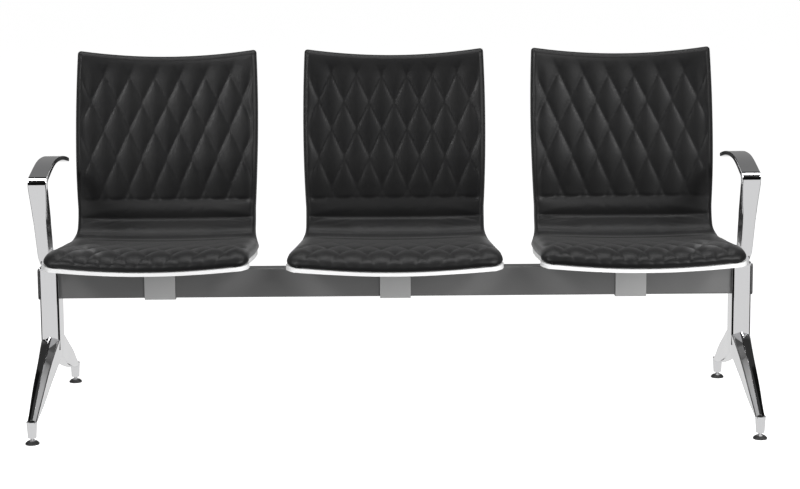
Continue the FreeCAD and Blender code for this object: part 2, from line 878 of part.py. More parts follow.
def make_glide(side, sign, end, direction):
    """A moulded disc and the threaded stud with a hexagon collar that it turns with."""
    corner = f"{end}_{side}"
    at = (f"{sign} * {LEG_PLANE}", f"{direction} * Sizes.foot_reach")
    disc = new_body(f"glide_disc_{corner}")
    sketch = new_sketch(disc, "Disc", "XY_Plane")
    circle(sketch, "Sizes.glide_radius")
    slab = pad(disc, sketch, "Sizes.glide_height")
    doc.recompute()
    top = [
        f"Edge{index}"
        for index, edge in enumerate(slab.Shape.Edges, 1)
        if edge.BoundBox.ZMin > size("glide_height") - 1e-6
    ]
    chamfer = disc.newObject("PartDesign::Chamfer", "DiscSlope")
    chamfer.Base = (slab, top)
    bind(chamfer, Size="Sizes.glide_height - Sizes.glide_rim")
    seat = new_sketch(disc, "StudSeat", "XY_Plane", out="Sizes.glide_height")
    circle(seat, "Sizes.glide_stud / 2 + Sizes.thread_gap")
    pocket(disc, seat, "Sizes.glide_seat_depth")
    place(disc, *at)
    keep(disc)

    stud = new_body(f"glide_stud_{corner}")
    shank = new_sketch(stud, "Shank", "XY_Plane", out="Sizes.glide_height - Sizes.glide_seat_depth")
    circle(shank, "Sizes.glide_stud / 2")
    pad(stud, shank, "Sizes.glide_stud_length")
    collar = new_sketch(stud, "Collar", "XY_Plane", out="Sizes.glide_height")
    hexagon = [
        Vector(math.cos(math.radians(60 * turn)), math.sin(math.radians(60 * turn)), 0) * 7
        for turn in range(6)
    ]
    first = draw_loop(collar, hexagon)
    for turn in range(1, 6):
        collar.addConstraint(Sketcher.Constraint("Equal", first, first + turn))
    rim = collar.addGeometry(Part.Circle(Vector(0, 0, 0), ALONG_Z, 7), True)
    collar.addConstraint(Sketcher.Constraint("Coincident", rim, 3, -1, 1))
    for turn in range(6):
        collar.addConstraint(Sketcher.Constraint("PointOnObject", first + turn, 1, rim))
    collar.addConstraint(Sketcher.Constraint("PointOnObject", first, 1, -1))
    measure(collar, "Radius", (rim,), "corner", "Sizes.glide_collar / sqrt(3)", 7)
    pad(stud, collar, "Sizes.glide_collar_height")
    place(stud, *at)
    keep(stud)


# Seat form: one curved line in the side view, which the shell and the pad both follow


def seat_runs():
    """The stretches of the seat's line from its front edge: (length, turn in degrees)."""
    bend = size("bend_angle")
    return [
        (size("waterfall_length"), -(size("waterfall_angle") + size("seat_slope"))),
        (size("seat_run"), 0.0),
        (size("bend_radius") * math.radians(bend), bend),
        (size("lumbar_length"), -size("lumbar_angle")),
        (size("back_length"), size("back_angle")),
    ]


def seat_length():
    return sum(length for length, turn in seat_runs())


def seat_point(distance):
    """Place and direction on the seat's line; the line runs on straight past its ends."""
    y = -size("seat_front_reach")
    z = size("seat_front_height")
    heading = math.radians(size("waterfall_angle"))
    if distance < 0:
        return y + distance * math.cos(heading), z + distance * math.sin(heading), heading
    for length, turn in seat_runs():
        step = min(distance, length)
        turned = math.radians(turn) * step / length
        chord = step
        if abs(turned) > 1e-9:
            chord = 2 * step / turned * math.sin(turned / 2)
        y += chord * math.cos(heading + turned / 2)
        z += chord * math.sin(heading + turned / 2)
        heading += turned
        distance -= step
        if distance <= 0:
            break
    if distance > 0:
        y += distance * math.cos(heading)
        z += distance * math.sin(heading)
    return y, z, heading


def blend(low, high, value):
    """Rises smoothly from 0 at low to 1 at high."""
    share = min(1.0, max(0.0, (value - low) / (high - low)))
    return share * share * (3 - 2 * share)


def bend_start():
    return size("waterfall_length") + size("seat_run")


def bend_end():
    return bend_start() + size("bend_radius") * math.radians(size("bend_angle"))


SIDE_TAPER = 1.2


def half_width(distance):
    """Half the seat's width: it narrows evenly to the bend's end and bulges a little up the back."""
    narrow = size("bend_half")
    if distance <= bend_end():
        left = min(1.0, 1 - distance / bend_end())
        return narrow + (size("front_half") - narrow) * left**SIDE_TAPER
    rise = max(0.0, (distance - bend_end()) / (seat_length() - bend_end()))
    bulge = 4 * rise * (1 - rise) * size("back_bulge")
    return narrow + (size("top_half") - narrow) * rise + bulge


def dish(distance):
    """How far the edges stand above the middle of the seat."""
    rise = blend(bend_start(), bend_end(), distance)
    return size("seat_dish") + (size("back_dish") - size("seat_dish")) * rise


def seat_surface(across, distance, height):
    """A point at a height over the shell's upper face."""
    y, z, heading = seat_point(distance)
    share = across / half_width(distance)
    lift = height + dish(distance) * share * share
    return Vector(across, y - lift * math.sin(heading), z + lift * math.cos(heading))


# Moulded shell


def shell_section(distance):
    half = half_width(distance) - size("shell_inset")
    upper, lower = (
        [seat_surface(share * half, distance, height) for share in (-1, 0, 1)]
        for height in (0, -size("shell_thickness"))
    )
    edges = [
        Part.Arc(*upper),
        Part.LineSegment(upper[2], lower[2]),
        Part.Arc(*reversed(lower)),
        Part.LineSegment(lower[0], upper[0]),
    ]
    return Part.Wire([edge.toShape() for edge in edges])


def shell_stations():
    """Where the shell's sections stand: evenly along each stretch, and a little past both ends."""
    stations = [-size("shell_thickness")]
    passed = 0.0
    for length, turn in seat_runs():
        steps = math.ceil(length / size("section_step"))
        stations += [passed + length * step / steps for step in range(1 if not passed else 0, steps)]
        passed += length
    return stations + [passed, passed + size("shell_thickness")]


DIAGONAL = math.sqrt(0.5)


def corner_arc(inner, half, start, rise, side, to_space):
    """A quarter circle that rounds one corner of the shell's outline, from its middle outwards."""
    corner = half - inner
    return Part.Arc(
        to_space(Vector(side * inner, start, 0)),
        to_space(
            Vector(side * (inner + corner * DIAGONAL), start + rise * corner * (1 - DIAGONAL), 0)
        ),
        to_space(Vector(side * half, start + rise * corner, 0)),
    ).toShape()


def shell_outline(half, corner, middle, bow, rise, beyond, to_space):
    """What lies past one bowed end of the shell: its corners are rounded, its bow is an arc."""
    inner = half - corner
    start = middle + bow
    edges = [
        Part.Arc(
            to_space(Vector(-inner, start, 0)),
            to_space(Vector(0, middle, 0)),
            to_space(Vector(inner, start, 0)),
        ).toShape()
    ]
    wide = 2 * half
    path = [
        Vector(half, start + rise * corner, 0),
        Vector(wide, start + rise * corner, 0),
        Vector(wide, beyond, 0),
        Vector(-wide, beyond, 0),
        Vector(-wide, start + rise * corner, 0),
        Vector(-half, start + rise * corner, 0),
    ]
    edges.append(corner_arc(inner, half, start, rise, 1, to_space))
    for before, after in zip(path, path[1:]):
        edges.append(Part.LineSegment(to_space(before), to_space(after)).toShape())
    edges.append(corner_arc(inner, half, start, rise, -1, to_space))
    return Part.Face(Part.Wire(edges))


def shell_front_waste():
    """What is trimmed off in front: the front edge is bowed forwards."""
    half = size("front_half") - size("shell_inset")
    front = -size("seat_front_reach")
    corner = size("front_corner")
    bow = size("seat_bow") * (1 - corner / half) ** 2
    face = shell_outline(half, corner, front, bow, 1, front - corner, plan_view(0))
    return face.extrude(Vector(0, 0, 2 * size("seat_front_height")))


def shell_top_waste():
    """What is trimmed off at the top: the top edge dips in the middle."""
    y, z = seat_point(seat_length())[:2]
    half = size("top_half") - size("shell_inset")
    corner = size("top_corner")
    middle = z - size("shell_inset") - size("back_dip")
    depth = 4 * size("shell_thickness")
    face = shell_outline(
        half, corner, middle, size("back_dip"), -1, z + depth, front_view(y - depth)
    )
    return face.extrude(Vector(0, 2 * depth, 0))


def boss_places():
    for across in (-1, 1):
        for along in (-1, 1):
            yield across * size("boss_pitch_across") / 2, along * size("boss_pitch_along") / 2


def plate_top():
    return size("beam_centre") + size("beam_height") / 2 + size("plate_thickness")


LEVEL_ROUNDS = 20


def shell_level(across, along):
    """Height of the middle of the shell's wall over a point of the seat."""
    distance = size("waterfall_length")
    for _ in range(LEVEL_ROUNDS):
        point = seat_surface(across, distance, -size("shell_thickness") / 2)
        distance += along - point.y
    return point.z


def make_shell_shape():
    sheet_form = Part.makeLoft([shell_section(station) for station in shell_stations()], True, False)
    shell = sheet_form.cut(shell_front_waste()).cut(shell_top_waste())
    for across, along in boss_places():
        foot = Vector(across, along, plate_top())
        boss = Part.makeCylinder(size("boss_radius"), shell_level(across, along) - foot.z, foot)
        shell = shell.fuse(boss)
    for across, along in boss_places():
        foot = Vector(across, along, plate_top())
        radius = size("insert_radius") + size("insert_gap")
        shell = shell.cut(Part.makeCylinder(radius, size("insert_height"), foot))
    return shell.removeSplitter()


# Quilted pad


def pad_height(distance):
    """Height of the pad's face over the shell along the seat's middle line."""
    reach = size("pad_blend")
    seat_to_bend = blend(bend_start() - 2 * reach, bend_start() + reach, distance)
    bend_to_back = blend(bend_end() - reach, bend_end() + reach, distance)
    height = size("pad_seat") + (size("pad_bend") - size("pad_seat")) * seat_to_bend
    return height + (size("pad_back") - size("pad_bend")) * bend_to_back


def edge_round(inset, width):
    """A quarter ellipse: 0 at the edge, 1 from a width inwards."""
    share = min(1.0, inset / width)
    return math.sqrt(1 - (1 - share) ** 2)


def quilt(column, row):
    """Share of the quilting's depth, by quarter steps: 0 on the seams, 1 in a pillow's middle."""
    to_rising = (column + row) % 4
    to_falling = (column - row) % 4
    step = min(to_rising, 4 - to_rising, to_falling, 4 - to_falling)
    return 1 - (1 - step / 2) ** 2


FRONT_STEPS = (0, 0.25, 0.5, 1, 1.5, 2)
BAND_ROWS = 11
TOP_SHARES = (0.45, 0.12, 0)
SIDE_SHARES = (0, 0.12, 0.5)
LATTICE_INSET = 1.15
SPANS_BELOW = 6


def pad_rows():
    """Rows of the pad's grid as (distance, quilting row or None), and the two seams' distances."""
    total = seat_length()
    quarter = size("quilt_row") / 4
    seat_start = size("seat_quilt_start")
    back_start = size("back_quilt_start")
    seat_end = int((size("seat_quilt_end") - seat_start) / quarter)
    back_end = int((total - size("top_corner") - back_start) / quarter)
    rows = [(0, None), (seat_start / 3, None)]
    for step in FRONT_STEPS + tuple(range(3, seat_end + 1)):
        rows.append((seat_start + quarter * step, step))
    seat_seam = rows[-1][0]
    for step in range(1, BAND_ROWS):
        rows.append((seat_seam + (back_start - seat_seam) * step / BAND_ROWS, None))
    rows += [(back_start + quarter * step, step + 1) for step in range(back_end + 1)]
    for share in TOP_SHARES:
        rows.append((total - size("pad_top_round") * share, None))
    return rows, {seat_seam, back_start}


def lattice_reach(half):
    """Where the even lattice ends, inside the rounding of the sides."""
    return half - size("pad_side_round") * LATTICE_INSET


def pad_columns(half, middle_columns):
    """Places across the pad: an even lattice between the rounding steps at each side."""
    quarter = size("quilt_pitch") / 4
    squeeze = min(1, lattice_reach(half) / (middle_columns * quarter))
    middle = [quarter * squeeze * column for column in range(-middle_columns, middle_columns + 1)]
    sides = [half - size("pad_side_round") * share for share in SIDE_SHARES]
    return [-place for place in sides] + middle + sides[::-1]


def corner_setback(reach, radius):
    """How far a rounded corner draws in the outline at a distance from its end."""
    return radius - math.sqrt(radius**2 - max(0, radius - reach) ** 2)


def end_shift(across, distance):
    """How far the seat's bowed front edge and dipping top edge move a point along the seat."""
    share = across / half_width(distance)
    bow = size("seat_bow") * share**2 * (1 - blend(0, size("bow_fade"), distance))
    near_top = blend(bend_end() + size("lumbar_length"), seat_length(), distance)
    return bow - size("back_dip") * (1 - share**2) * near_top


def pad_grid():
    """Points of the pad's face, row by row from the front edge to the top edge."""
    middle_columns = int(lattice_reach(size("bend_half")) / (size("quilt_pitch") / 4))
    rows, seams = pad_rows()
    total = seat_length()
    grid = []
    for distance, quilt_row in rows:
        half = half_width(distance) - corner_setback(distance, size("front_corner"))
        half -= corner_setback(total - distance, size("top_corner"))
        line = []
        for index, across in enumerate(pad_columns(half, middle_columns)):
            column = index - len(SIDE_SHARES) - middle_columns
            round_off = min(
                edge_round(half - abs(across), size("pad_side_round")),
                edge_round(distance, size("pad_front_round")),
                edge_round(total - distance, size("pad_top_round")),
            )
            height = size("pad_rim") + (pad_height(distance) - size("pad_rim")) * round_off
            if abs(column) < middle_columns:
                height -= round_off * sink(column, quilt_row, distance, seams)
            line.append(seat_surface(across, distance + end_shift(across, distance), height))
        grid.append(line)
    return grid


def sink(column, quilt_row, distance, seams):
    """How deep the face lies at a point: full on a seam, nothing on a pillow, little in the band."""
    if distance in seams:
        return size("quilt_depth")
    if quilt_row is None:
        return size("band_depth")
    return size("quilt_depth") * (1 - quilt(column, quilt_row))


def underside_grid():
    """Points of the pad's underside, drawn in from its edges, with few points across."""
    total = seat_length()
    draw_in = size("pad_draw_in")
    grid = []
    for distance in (row[0] for row in pad_rows()[0]):
        inner = half_width(distance) - corner_setback(distance, size("front_corner")) - draw_in
        kept = draw_in + distance * (total - 2 * draw_in) / total
        line = []
        for step in range(SPANS_BELOW + 1):
            across = inner * (2 * step / SPANS_BELOW - 1)
            line.append(seat_surface(across, kept + end_shift(across, distance), size("pad_gap")))
        grid.append(line)
    return grid


def triangle(first, second, third):
    return Part.Face(Part.makePolygon([first, second, third, first]))


def sheet_faces(grid, flip):
    """Triangles of a grid, each quad split along its lower diagonal."""
    faces = []
    for near, far in zip(grid, grid[1:]):
        for a, b, c, d in zip(near, near[1:], far[1:], far):
            halves = [(a, b, c), (a, c, d)]
            if (a - c).Length >= (b - d).Length:
                halves = [(a, b, d), (b, c, d)]
            for first, second, third in halves:
                faces.append(triangle(first, third, second) if flip else triangle(first, second, third))
    return faces


def strip_faces(first, second):
    """Triangles between two lines of points whose counts differ."""
    faces = []
    i = j = 0
    while i < len(first) - 1 or j < len(second) - 1:
        next_i = (i + 1) / (len(first) - 1) if i < len(first) - 1 else 2
        next_j = (j + 1) / (len(second) - 1) if j < len(second) - 1 else 2
        if next_i <= next_j:
            faces.append(triangle(first[i], first[i + 1], second[j]))
            i += 1
        else:
            faces.append(triangle(first[i], second[j + 1], second[j]))
            j += 1
    return faces


def make_pad_shape():
    upper = pad_grid()
    lower = underside_grid()
    faces = sheet_faces(upper, False) + sheet_faces(lower, True)
    for upper_line, lower_line in (
        (upper[0], lower[0]),
        (upper[-1], lower[-1]),
        ([line[0] for line in upper], [line[0] for line in lower]),
        ([line[-1] for line in upper], [line[-1] for line in lower]),
    ):
        faces += strip_faces(upper_line, lower_line)
    skin = Part.makeShell(faces)
    skin.sewShape()
    solid = Part.makeSolid(skin)
    if solid.Volume < 0:
        solid.reverse()
    return solid


# Seat brackets


def make_plate(seat, index):
    """A steel plate on the beam's top that carries the shell's four bosses."""
    body = new_body(f"mount_plate_{seat}")
    sketch = new_sketch(body, "Plate", "XY_Plane", out=BEAM_TOP)
    rectangle(sketch, "Sizes.plate_width", "Sizes.plate_depth")
    slab = pad(body, sketch, "Sizes.plate_thickness")
    doc.recompute()
    fillet(body, slab, edges_along(slab.Shape, ALONG_Z), "Sizes.plate_corner")
    holes = new_sketch(body, "PlateHoles", "XY_Plane", out=BEAM_TOP)
    for across in (-1, 1):
        for along in (-1, 1):
            tag = f"{'Left' if across < 0 else 'Right'}{'Front' if along < 0 else 'Rear'}"
            circle(
                holes,
                "Sizes.shell_screw / 2 + Sizes.bolt_hole_gap",
                "Shell" + tag,
                f"{across} * Sizes.boss_pitch_across / 2",
                f"{along} * Sizes.boss_pitch_along / 2",
            )
            circle(
                holes,
                "Sizes.clamp_bolt / 2 + Sizes.bolt_hole_gap",
                "Clamp" + tag,
                f"{across} * Sizes.clamp_bolt_spacing / 2",
                f"{along} * {CLAMP_LINE}",
            )
    pocket(body, holes, "Sizes.plate_thickness * 2", reverse=True)
    place(body, across=f"{index} * Sizes.seat_pitch")
    return keep(body)


def make_strap(seat, index):
    """A strap bent round the beam's front, underside and back, with a flange at each end."""
    wall = size("strap_thickness")
    top = size("beam_centre") + size("beam_height") / 2 - size("strap_gap")
    low = size("beam_centre") - size("beam_height") / 2 - size("fit_gap")
    inner = size("beam_depth") / 2 + size("fit_gap")
    outer = inner + wall
    end = outer + size("strap_flange")
    inside = size("strap_bend")
    outside = inside + wall
    half = size("strap_width") / 2
    corners = [
        (-end, top, 0),
        (-inner, top, outside),
        (-inner, low, inside),
        (inner, low, inside),
        (inner, top, outside),
        (end, top, 0),
        (end, top - wall, 0),
        (outer, top - wall, inside),
        (outer, low - wall, outside),
        (-outer, low - wall, outside),
        (-outer, top - wall, inside),
        (-end, top - wall, 0),
    ]
    strap = prism(corners, side_view(-half), Vector(2 * half, 0, 0))
    line = (outer + end) / 2
    for across in (-1, 1):
        for along in (-1, 1):
            hole = Part.makeCylinder(
                size("clamp_bolt") / 2 + size("bolt_hole_gap"),
                wall * 3,
                Vector(across * size("clamp_bolt_spacing") / 2, along * line, top - 2 * wall),
            )
            strap = strap.cut(hole)
    return feature(f"clamp_strap_{seat}", strap, index * size("seat_pitch"))


def make_seat_fasteners(seat, index):
    middle = f"{index} * Sizes.seat_pitch"
    bolts = []
    nuts = []
    screws = []
    inserts = []
    for across in (-1, 1):
        for along in (-1, 1):
            tag = f"{seat}_{'left' if across < 0 else 'right'}_{'front' if along < 0 else 'rear'}"
            at_clamp = (
                f"{middle} + {across} * Sizes.clamp_bolt_spacing / 2",
                f"{along} * {CLAMP_LINE}",
            )
            at_boss = (
                f"{middle} + {across} * Sizes.boss_pitch_across / 2",
                f"{along} * Sizes.boss_pitch_along / 2",
            )
            bolt = socket_screw("clamp_bolt_" + tag, "Sizes.clamp_bolt", "Sizes.clamp_bolt_length")
            bolt.Placement.Rotation = FreeCAD.Rotation(ALONG_X, 180)
            place(bolt, *at_clamp, f"{BEAM_TOP} - Sizes.strap_gap - Sizes.strap_thickness")
            bolts.append(bolt)
            nut = hex_nut("clamp_nut_" + tag, "Sizes.clamp_bolt", "Sizes.clamp_nut_height")
            nuts.append(place(nut, *at_clamp, f"{BEAM_TOP} + Sizes.plate_thickness"))
            screw = socket_screw("shell_screw_" + tag, "Sizes.shell_screw", "Sizes.shell_screw_length")
            screw.Placement.Rotation = FreeCAD.Rotation(ALONG_X, 180)
            screws.append(place(screw, *at_boss, BEAM_TOP))
            sleeve = part_object(
                "Part::Cylinder",
                f"insert_body_{tag}",
                Radius="Sizes.insert_radius",
                Height="Sizes.insert_height",
            )
            bore = part_object(
                "Part::Cylinder",
                f"insert_bore_{tag}",
                Radius="Sizes.shell_screw / 2 + Sizes.thread_gap",
                Height="Sizes.insert_height",
            )
            insert = doc.addObject("Part::Cut", "shell_insert_" + tag)
            insert.Base = sleeve
            insert.Tool = bore
            inserts.append(place(insert, *at_boss, f"{BEAM_TOP} + Sizes.plate_thickness"))
    group(f"clamp_bolts_{seat}", bolts)
    group(f"clamp_nuts_{seat}", nuts)
    group(f"shell_screws_{seat}", screws)
    group(f"shell_inserts_{seat}", inserts)


# The whole bench

make_beam()
for side, sign in SIDES.items():
    make_end_cap(side, sign)
    make_leg(side, sign)
    make_nut_plate(side, sign)
    make_leg_bolts(side, sign)
    make_arm(side, sign)
    make_arm_screws(side, sign)
    for end, direction in (("front", -1), ("rear", 1)):
        make_glide(side, sign, end, direction)

shell_shape = make_shell_shape()
pad_shape = make_pad_shape()
for seat, index in SEATS.items():
    feature(f"seat_shell_{seat}", shell_shape, index * size("seat_pitch"))
    feature(f"seat_pad_{seat}", pad_shape, index * size("seat_pitch"))
    make_plate(seat, index)
    make_strap(seat, index)
    make_seat_fasteners(seat, index)

doc.recompute()

for item in doc.Objects:
    if "Invalid" in item.State or "Error" in item.State:
        raise RuntimeError(f"{item.Label} did not recompute: {item.State}")
os.makedirs("parts", exist_ok=True)
for item in parts:
    if item.Shape.isNull() or not item.Shape.isValid():
        raise RuntimeError(f"{item.Label} has no valid shape")
    print(item.Label, len(item.Shape.Solids), round(item.Shape.Volume / 1000, 1), "cm3")
for item in parts:
    item.Shape.exportStep(f"parts/{item.Label}.step")
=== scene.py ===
"""Three-seat beam seating: quilted leather seats, polished castings and painted steel, in metres."""
import json
import math
import bpy
import numpy as np
from mathutils import Matrix, Vector


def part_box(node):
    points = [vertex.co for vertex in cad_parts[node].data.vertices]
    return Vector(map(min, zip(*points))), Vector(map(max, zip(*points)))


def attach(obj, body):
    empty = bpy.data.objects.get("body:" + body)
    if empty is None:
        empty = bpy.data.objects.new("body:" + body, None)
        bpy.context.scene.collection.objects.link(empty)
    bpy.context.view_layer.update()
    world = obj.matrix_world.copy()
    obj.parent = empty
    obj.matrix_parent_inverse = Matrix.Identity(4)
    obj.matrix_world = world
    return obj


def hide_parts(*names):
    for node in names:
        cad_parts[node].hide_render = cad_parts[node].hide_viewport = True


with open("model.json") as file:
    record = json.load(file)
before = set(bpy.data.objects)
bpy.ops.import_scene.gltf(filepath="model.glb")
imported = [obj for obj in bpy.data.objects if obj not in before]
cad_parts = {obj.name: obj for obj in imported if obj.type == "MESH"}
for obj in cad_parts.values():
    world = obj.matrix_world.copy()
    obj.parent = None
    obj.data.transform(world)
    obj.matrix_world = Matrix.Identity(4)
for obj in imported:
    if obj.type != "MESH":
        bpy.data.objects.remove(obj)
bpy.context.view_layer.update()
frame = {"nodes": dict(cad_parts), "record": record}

SEATS = ("left", "centre", "right")
SIDES = {"left": -1, "right": 1}
BENCH = "bench"
TINY = 1e-9

# Line of the seat in the side view, from its front edge to its top edge, with angles in degrees
FRONT_REACH = 0.298
FRONT_HEIGHT = 0.385
FRONT_HEADING = 15
WATERFALL = 0.090
SLOPE = 4
SEAT_RUN = 0.285
BEND_RADIUS = 0.100
BEND_ANGLE = 90
LUMBAR = 0.130
LUMBAR_ANGLE = 10
BACK = 0.260
BACK_ANGLE = 2

# The line's runs, as length and turn, and where the bend lies on it
BEND_RUN = BEND_RADIUS * math.radians(BEND_ANGLE)
SEAT_RUNS = [
    (WATERFALL, -(FRONT_HEADING + SLOPE)),
    (SEAT_RUN, 0),
    (BEND_RUN, BEND_ANGLE),
    (LUMBAR, -LUMBAR_ANGLE),
    (BACK, BACK_ANGLE),
]
SEAT_LENGTH = sum(length for length, _ in SEAT_RUNS)
BEND_START = WATERFALL + SEAT_RUN
BEND_END = BEND_START + BEND_RUN

# Table of the line's points: margin past both ends, number of steps, and the step of a search in it
LINE_MARGIN = 0.05
LINE_STEPS = 2000
LINE_SKIP = 5

# Half the width of the visible seat, and the rounding of its corners
FRONT_HALF = 0.2445
WAIST_HALF = 0.231
BEND_HALF = 0.2185
TOP_HALF = 0.2205
WAIST_SPAN = (-0.020, 0.095)
BACK_BULGE = 0.005
FRONT_CORNER = 0.026
TOP_CORNER = 0.009

# Bow of the front edge, dip of the top edge and dishing across the seat
SEAT_BOW = 0.018
BOW_FADE = 0.225
BACK_DIP = 0.015
SEAT_DISH = 0.007
BACK_DISH = 0.012

# Outline of the shell's solid, which the visible shell is drawn in from
SOLID_FRONT_HALF = 0.252
SOLID_BEND_HALF = 0.218
SOLID_TAPER = 1.2
SOLID_BOW = 0.025
SOLID_CORNER = 0.050
DRAW_SHARE = (0.55, 1.0)

# Front of the seats: rise of its corners, thinner lip, and what sets the two outer seats apart
FRONT_RISE = 0.0015
RISE_FADE = 0.25
LIP_THINNING = 0.32
LIP_FADE = (0.02, 0.06)
OUTER_NARROWING = 0.052
OUTER_LIFT = 0.004

# Section of the pad
PAD_GAP = 0.0011
PAD_SEAT = 0.031
PAD_BEND = 0.028
PAD_BACK = 0.023
PAD_BLEND = 0.050
PAD_RIM = 0.007
FRONT_ROUND = 0.048
TOP_ROUND = 0.018
SIDE_ROUND = 0.012
SEAT_SIDE_ROUND = 0.040

# Profile under the pad's edge: (inset, height), from the underside outwards
DRAW_IN = 0.005
TUCK_START = 0.0002
TUCK = [(DRAW_IN, PAD_GAP + TUCK_START), (0.0022, 0.0020), (0.0006, 0.0042)]
UNDERSIDE_INSET = 1.3 * DRAW_IN
OVER_THE_PAD = 1

# Quilting: size of the diamonds, depth of their seams, and where they start, end and fade
QUILT_PITCH = 0.062
QUILT_ROW = 0.144
QUILT_DEPTH = 0.0042
SEAT_QUILT_DEPTH = 0.0020
FRONT_QUILT_DEPTH = 0.0072
PILLOW_POWER = 0.34
SEAT_QUILT_START = 0.048
SEAT_QUILT_END = 0.330
SEAT_QUILT_FADE = (0.20, 0.33)
BACK_QUILT_START = 0.546
FRONT_FADE = (0.10, 0.20)
TOP_FADE = (0.020, 0.060)
EDGE_FADE = (SIDE_ROUND * 0.7, SIDE_ROUND * 2)

# Plain band over the bend with a straight seam on each side, and the welt round the pad's edge
BAND = (0.499, 0.553)
BAND_DEPTH = 0.0024
BAND_BULGE = 0.0022
SEAM_WIDTH = 0.0035
WELT_INSET = 0.0075
WELT_WIDTH = 0.0012
WELT_DEPTH = 0.0013

# Steps of the pad's mesh
STEP_ACROSS = 0.0036
STEP_ALONG = 0.0038
SPANS_BELOW = 24
FRONT_STEPS = 12
TOP_STEPS = 8
SIDE_STEPS = 9

# Filling: where the cover is sewn down, its stiffness as cloth, and how far it may swell
SEAM_REACH = 0.03
SEWN = (0.05, 0.16)
HELD_EDGE = 0.010
HELD_LEAST = 0.01
COVER_MASS = 0.02
COVER_STRETCH = 40
COVER_SHEAR = 15
COVER_BENDING = 0.2
FILL_PRESSURE = 4.0
FILL_QUALITY = 4
FILL_STEPS = 10
FILL_CAP = 0.0025

# Armrests: how far each leans in and rises over its solid, and where that starts and ends
ARM_LEAN = 0.012
ARM_LEAN_SPAN = (0.36, 0.54)
ARM_RISE = 0.009
ARM_RISE_SPAN = (-0.20, -0.06)
ARM_RISE_START = 0.48

# Pieces of the scene that stand for CAD nodes
STAND_INS = {"seat_pad": "quilted_pad", "seat_shell": "moulded_shell", "arm": "cast_arm"}

# Span of a noise texture's value over which a material's tones and roughness change
NOISE_SPAN = (0.3, 0.7)

# Brightness of the studio's walls, from the front at 0 over the sides at 0.5 to the back at 1
STUDIO_TONES = [(0.0, 0.03), (0.50, 0.05), (0.80, 0.03), (0.86, 0.16), (1.0, 0.24)]

# Flat pieces of the studio between two opposite corners: the floor, black cards in front of the
# bench, black flags beside the legs and white cards beside the armrests
FLOOR = ((-40, -40, 0), (40, 40, 0))
# Painted dark reflections: only reflections see these black sheets; the two flags under the seats stand
# for the shaded floor under the bench
BLACK_CARDS = {
    "black_card": ((-2.6, -1.35, 0.44), (2.6, -1.35, 1.55)),
    "low_card": ((-0.95, -1.35, 0.012), (0.95, -1.35, 0.44)),
    "floor_card": ((-0.72, -1.35, 0.012), (0.72, -0.32, 0.012)),
    "black_flag_3": ((-1.25, -0.35, 0), (-1.25, 0.35, 0.62)),
    "black_flag_4": ((-0.45, -0.35, 0), (-0.45, 0.35, 0.35)),
    "black_flag_5": ((0.45, -0.35, 0), (0.45, 0.35, 0.35)),
    "black_flag_6": ((1.25, -0.35, 0), (1.25, 0.35, 0.62)),
}
# Painted light reflections: glowing sheets that only reflections see, beside the armrests' inner faces;
# they give no diffuse light and cast no shadow
WHITE_CARDS = {
    "white_card_7": ((-0.74, -0.16, 0.45), (-0.74, 0.08, 0.62)),
    "white_card_8": ((0.74, -0.16, 0.45), (0.74, 0.08, 0.62)),
}
WHITE = (1, 1, 1, 1)
FLOOR_GLOW = 0.95
FLOOR_TONE = 0.72
WHITE_TONE = 0.6

# Softboxes: place, point that each is aimed at, width, height and watts
LAMPS = {
    "left_softbox": ((-2.3, -2.6, 2.7), (-0.4, 0, 0.6), 1.0, 1.0, 78),
    "right_softbox": ((2.3, -2.6, 2.7), (0.4, 0, 0.6), 1.0, 1.0, 78),
    "top_softbox": ((0, 0.3, 3.0), (0, -0.1, 0.4), 3.0, 0.9, 40),
    "front_fill": ((1.6, -3.2, 1.0), (0.2, 0, 0.4), 2.4, 1.2, 80),
    "arm_strip": ((0, -0.35, 2.0), (0, -0.2, 0.6), 5.0, 0.7, 90),
}

# Camera: place in metres, angles in degrees, lens and sensor in millimetres
CAMERA_PLACE = (0.0127, -4.604, 1.170)
CAMERA_PITCH = 8.083
CAMERA_ROLL = -0.44
CAMERA_LENS = 88.14
CAMERA_SENSOR = 36
CAMERA_SHIFT = -0.06


# Numbers and curves


def smooth(low, high, value):
    """Rises from 0 at low to 1 at high with a soft start and end."""
    share = np.clip((value - low) / (high - low), 0, 1)
    return share * share * (3 - 2 * share)


def quarter_round(inset, width):
    """A quarter ellipse: 0 at the edge, 1 from a width inwards."""
    return np.sqrt(1 - (1 - np.clip(inset / width, 0, 1)) ** 2)


def setback(reach, radius):
    """How far a rounded corner draws in the outline at a distance from its end."""
    return radius - np.sqrt(radius**2 - np.clip(radius - reach, 0, radius) ** 2)


def seat_line(distance):
    """Place and heading on the seat's line at one distance from its front edge."""
    y, z, heading = -FRONT_REACH, FRONT_HEIGHT, math.radians(FRONT_HEADING)
    if distance < 0:
        return y + distance * math.cos(heading), z + distance * math.sin(heading), heading
    for length, turn in SEAT_RUNS:
        step = min(distance, length)
        turned = math.radians(turn) * step / length
        chord = step if abs(turned) < TINY else 2 * step / turned * math.sin(turned / 2)
        y += chord * math.cos(heading + turned / 2)
        z += chord * math.sin(heading + turned / 2)
        heading += turned
        distance -= step
        if distance <= 0:
            break
    if distance > 0:
        y += distance * math.cos(heading)
        z += distance * math.sin(heading)
    return y, z, heading


LINE_TABLE = np.linspace(-LINE_MARGIN, SEAT_LENGTH + LINE_MARGIN, LINE_STEPS + 1)
LINE_POINTS = np.array([seat_line(distance) for distance in LINE_TABLE])


def line_distance(points):
    """Distance along the seat's line of the place next to each point."""
    lines = LINE_POINTS[::LINE_SKIP]
    gaps = (points[:, 1:2] - lines[:, 0]) ** 2 + (points[:, 2:3] - lines[:, 1]) ** 2
    return LINE_TABLE[::LINE_SKIP][gaps.argmin(axis=1)]


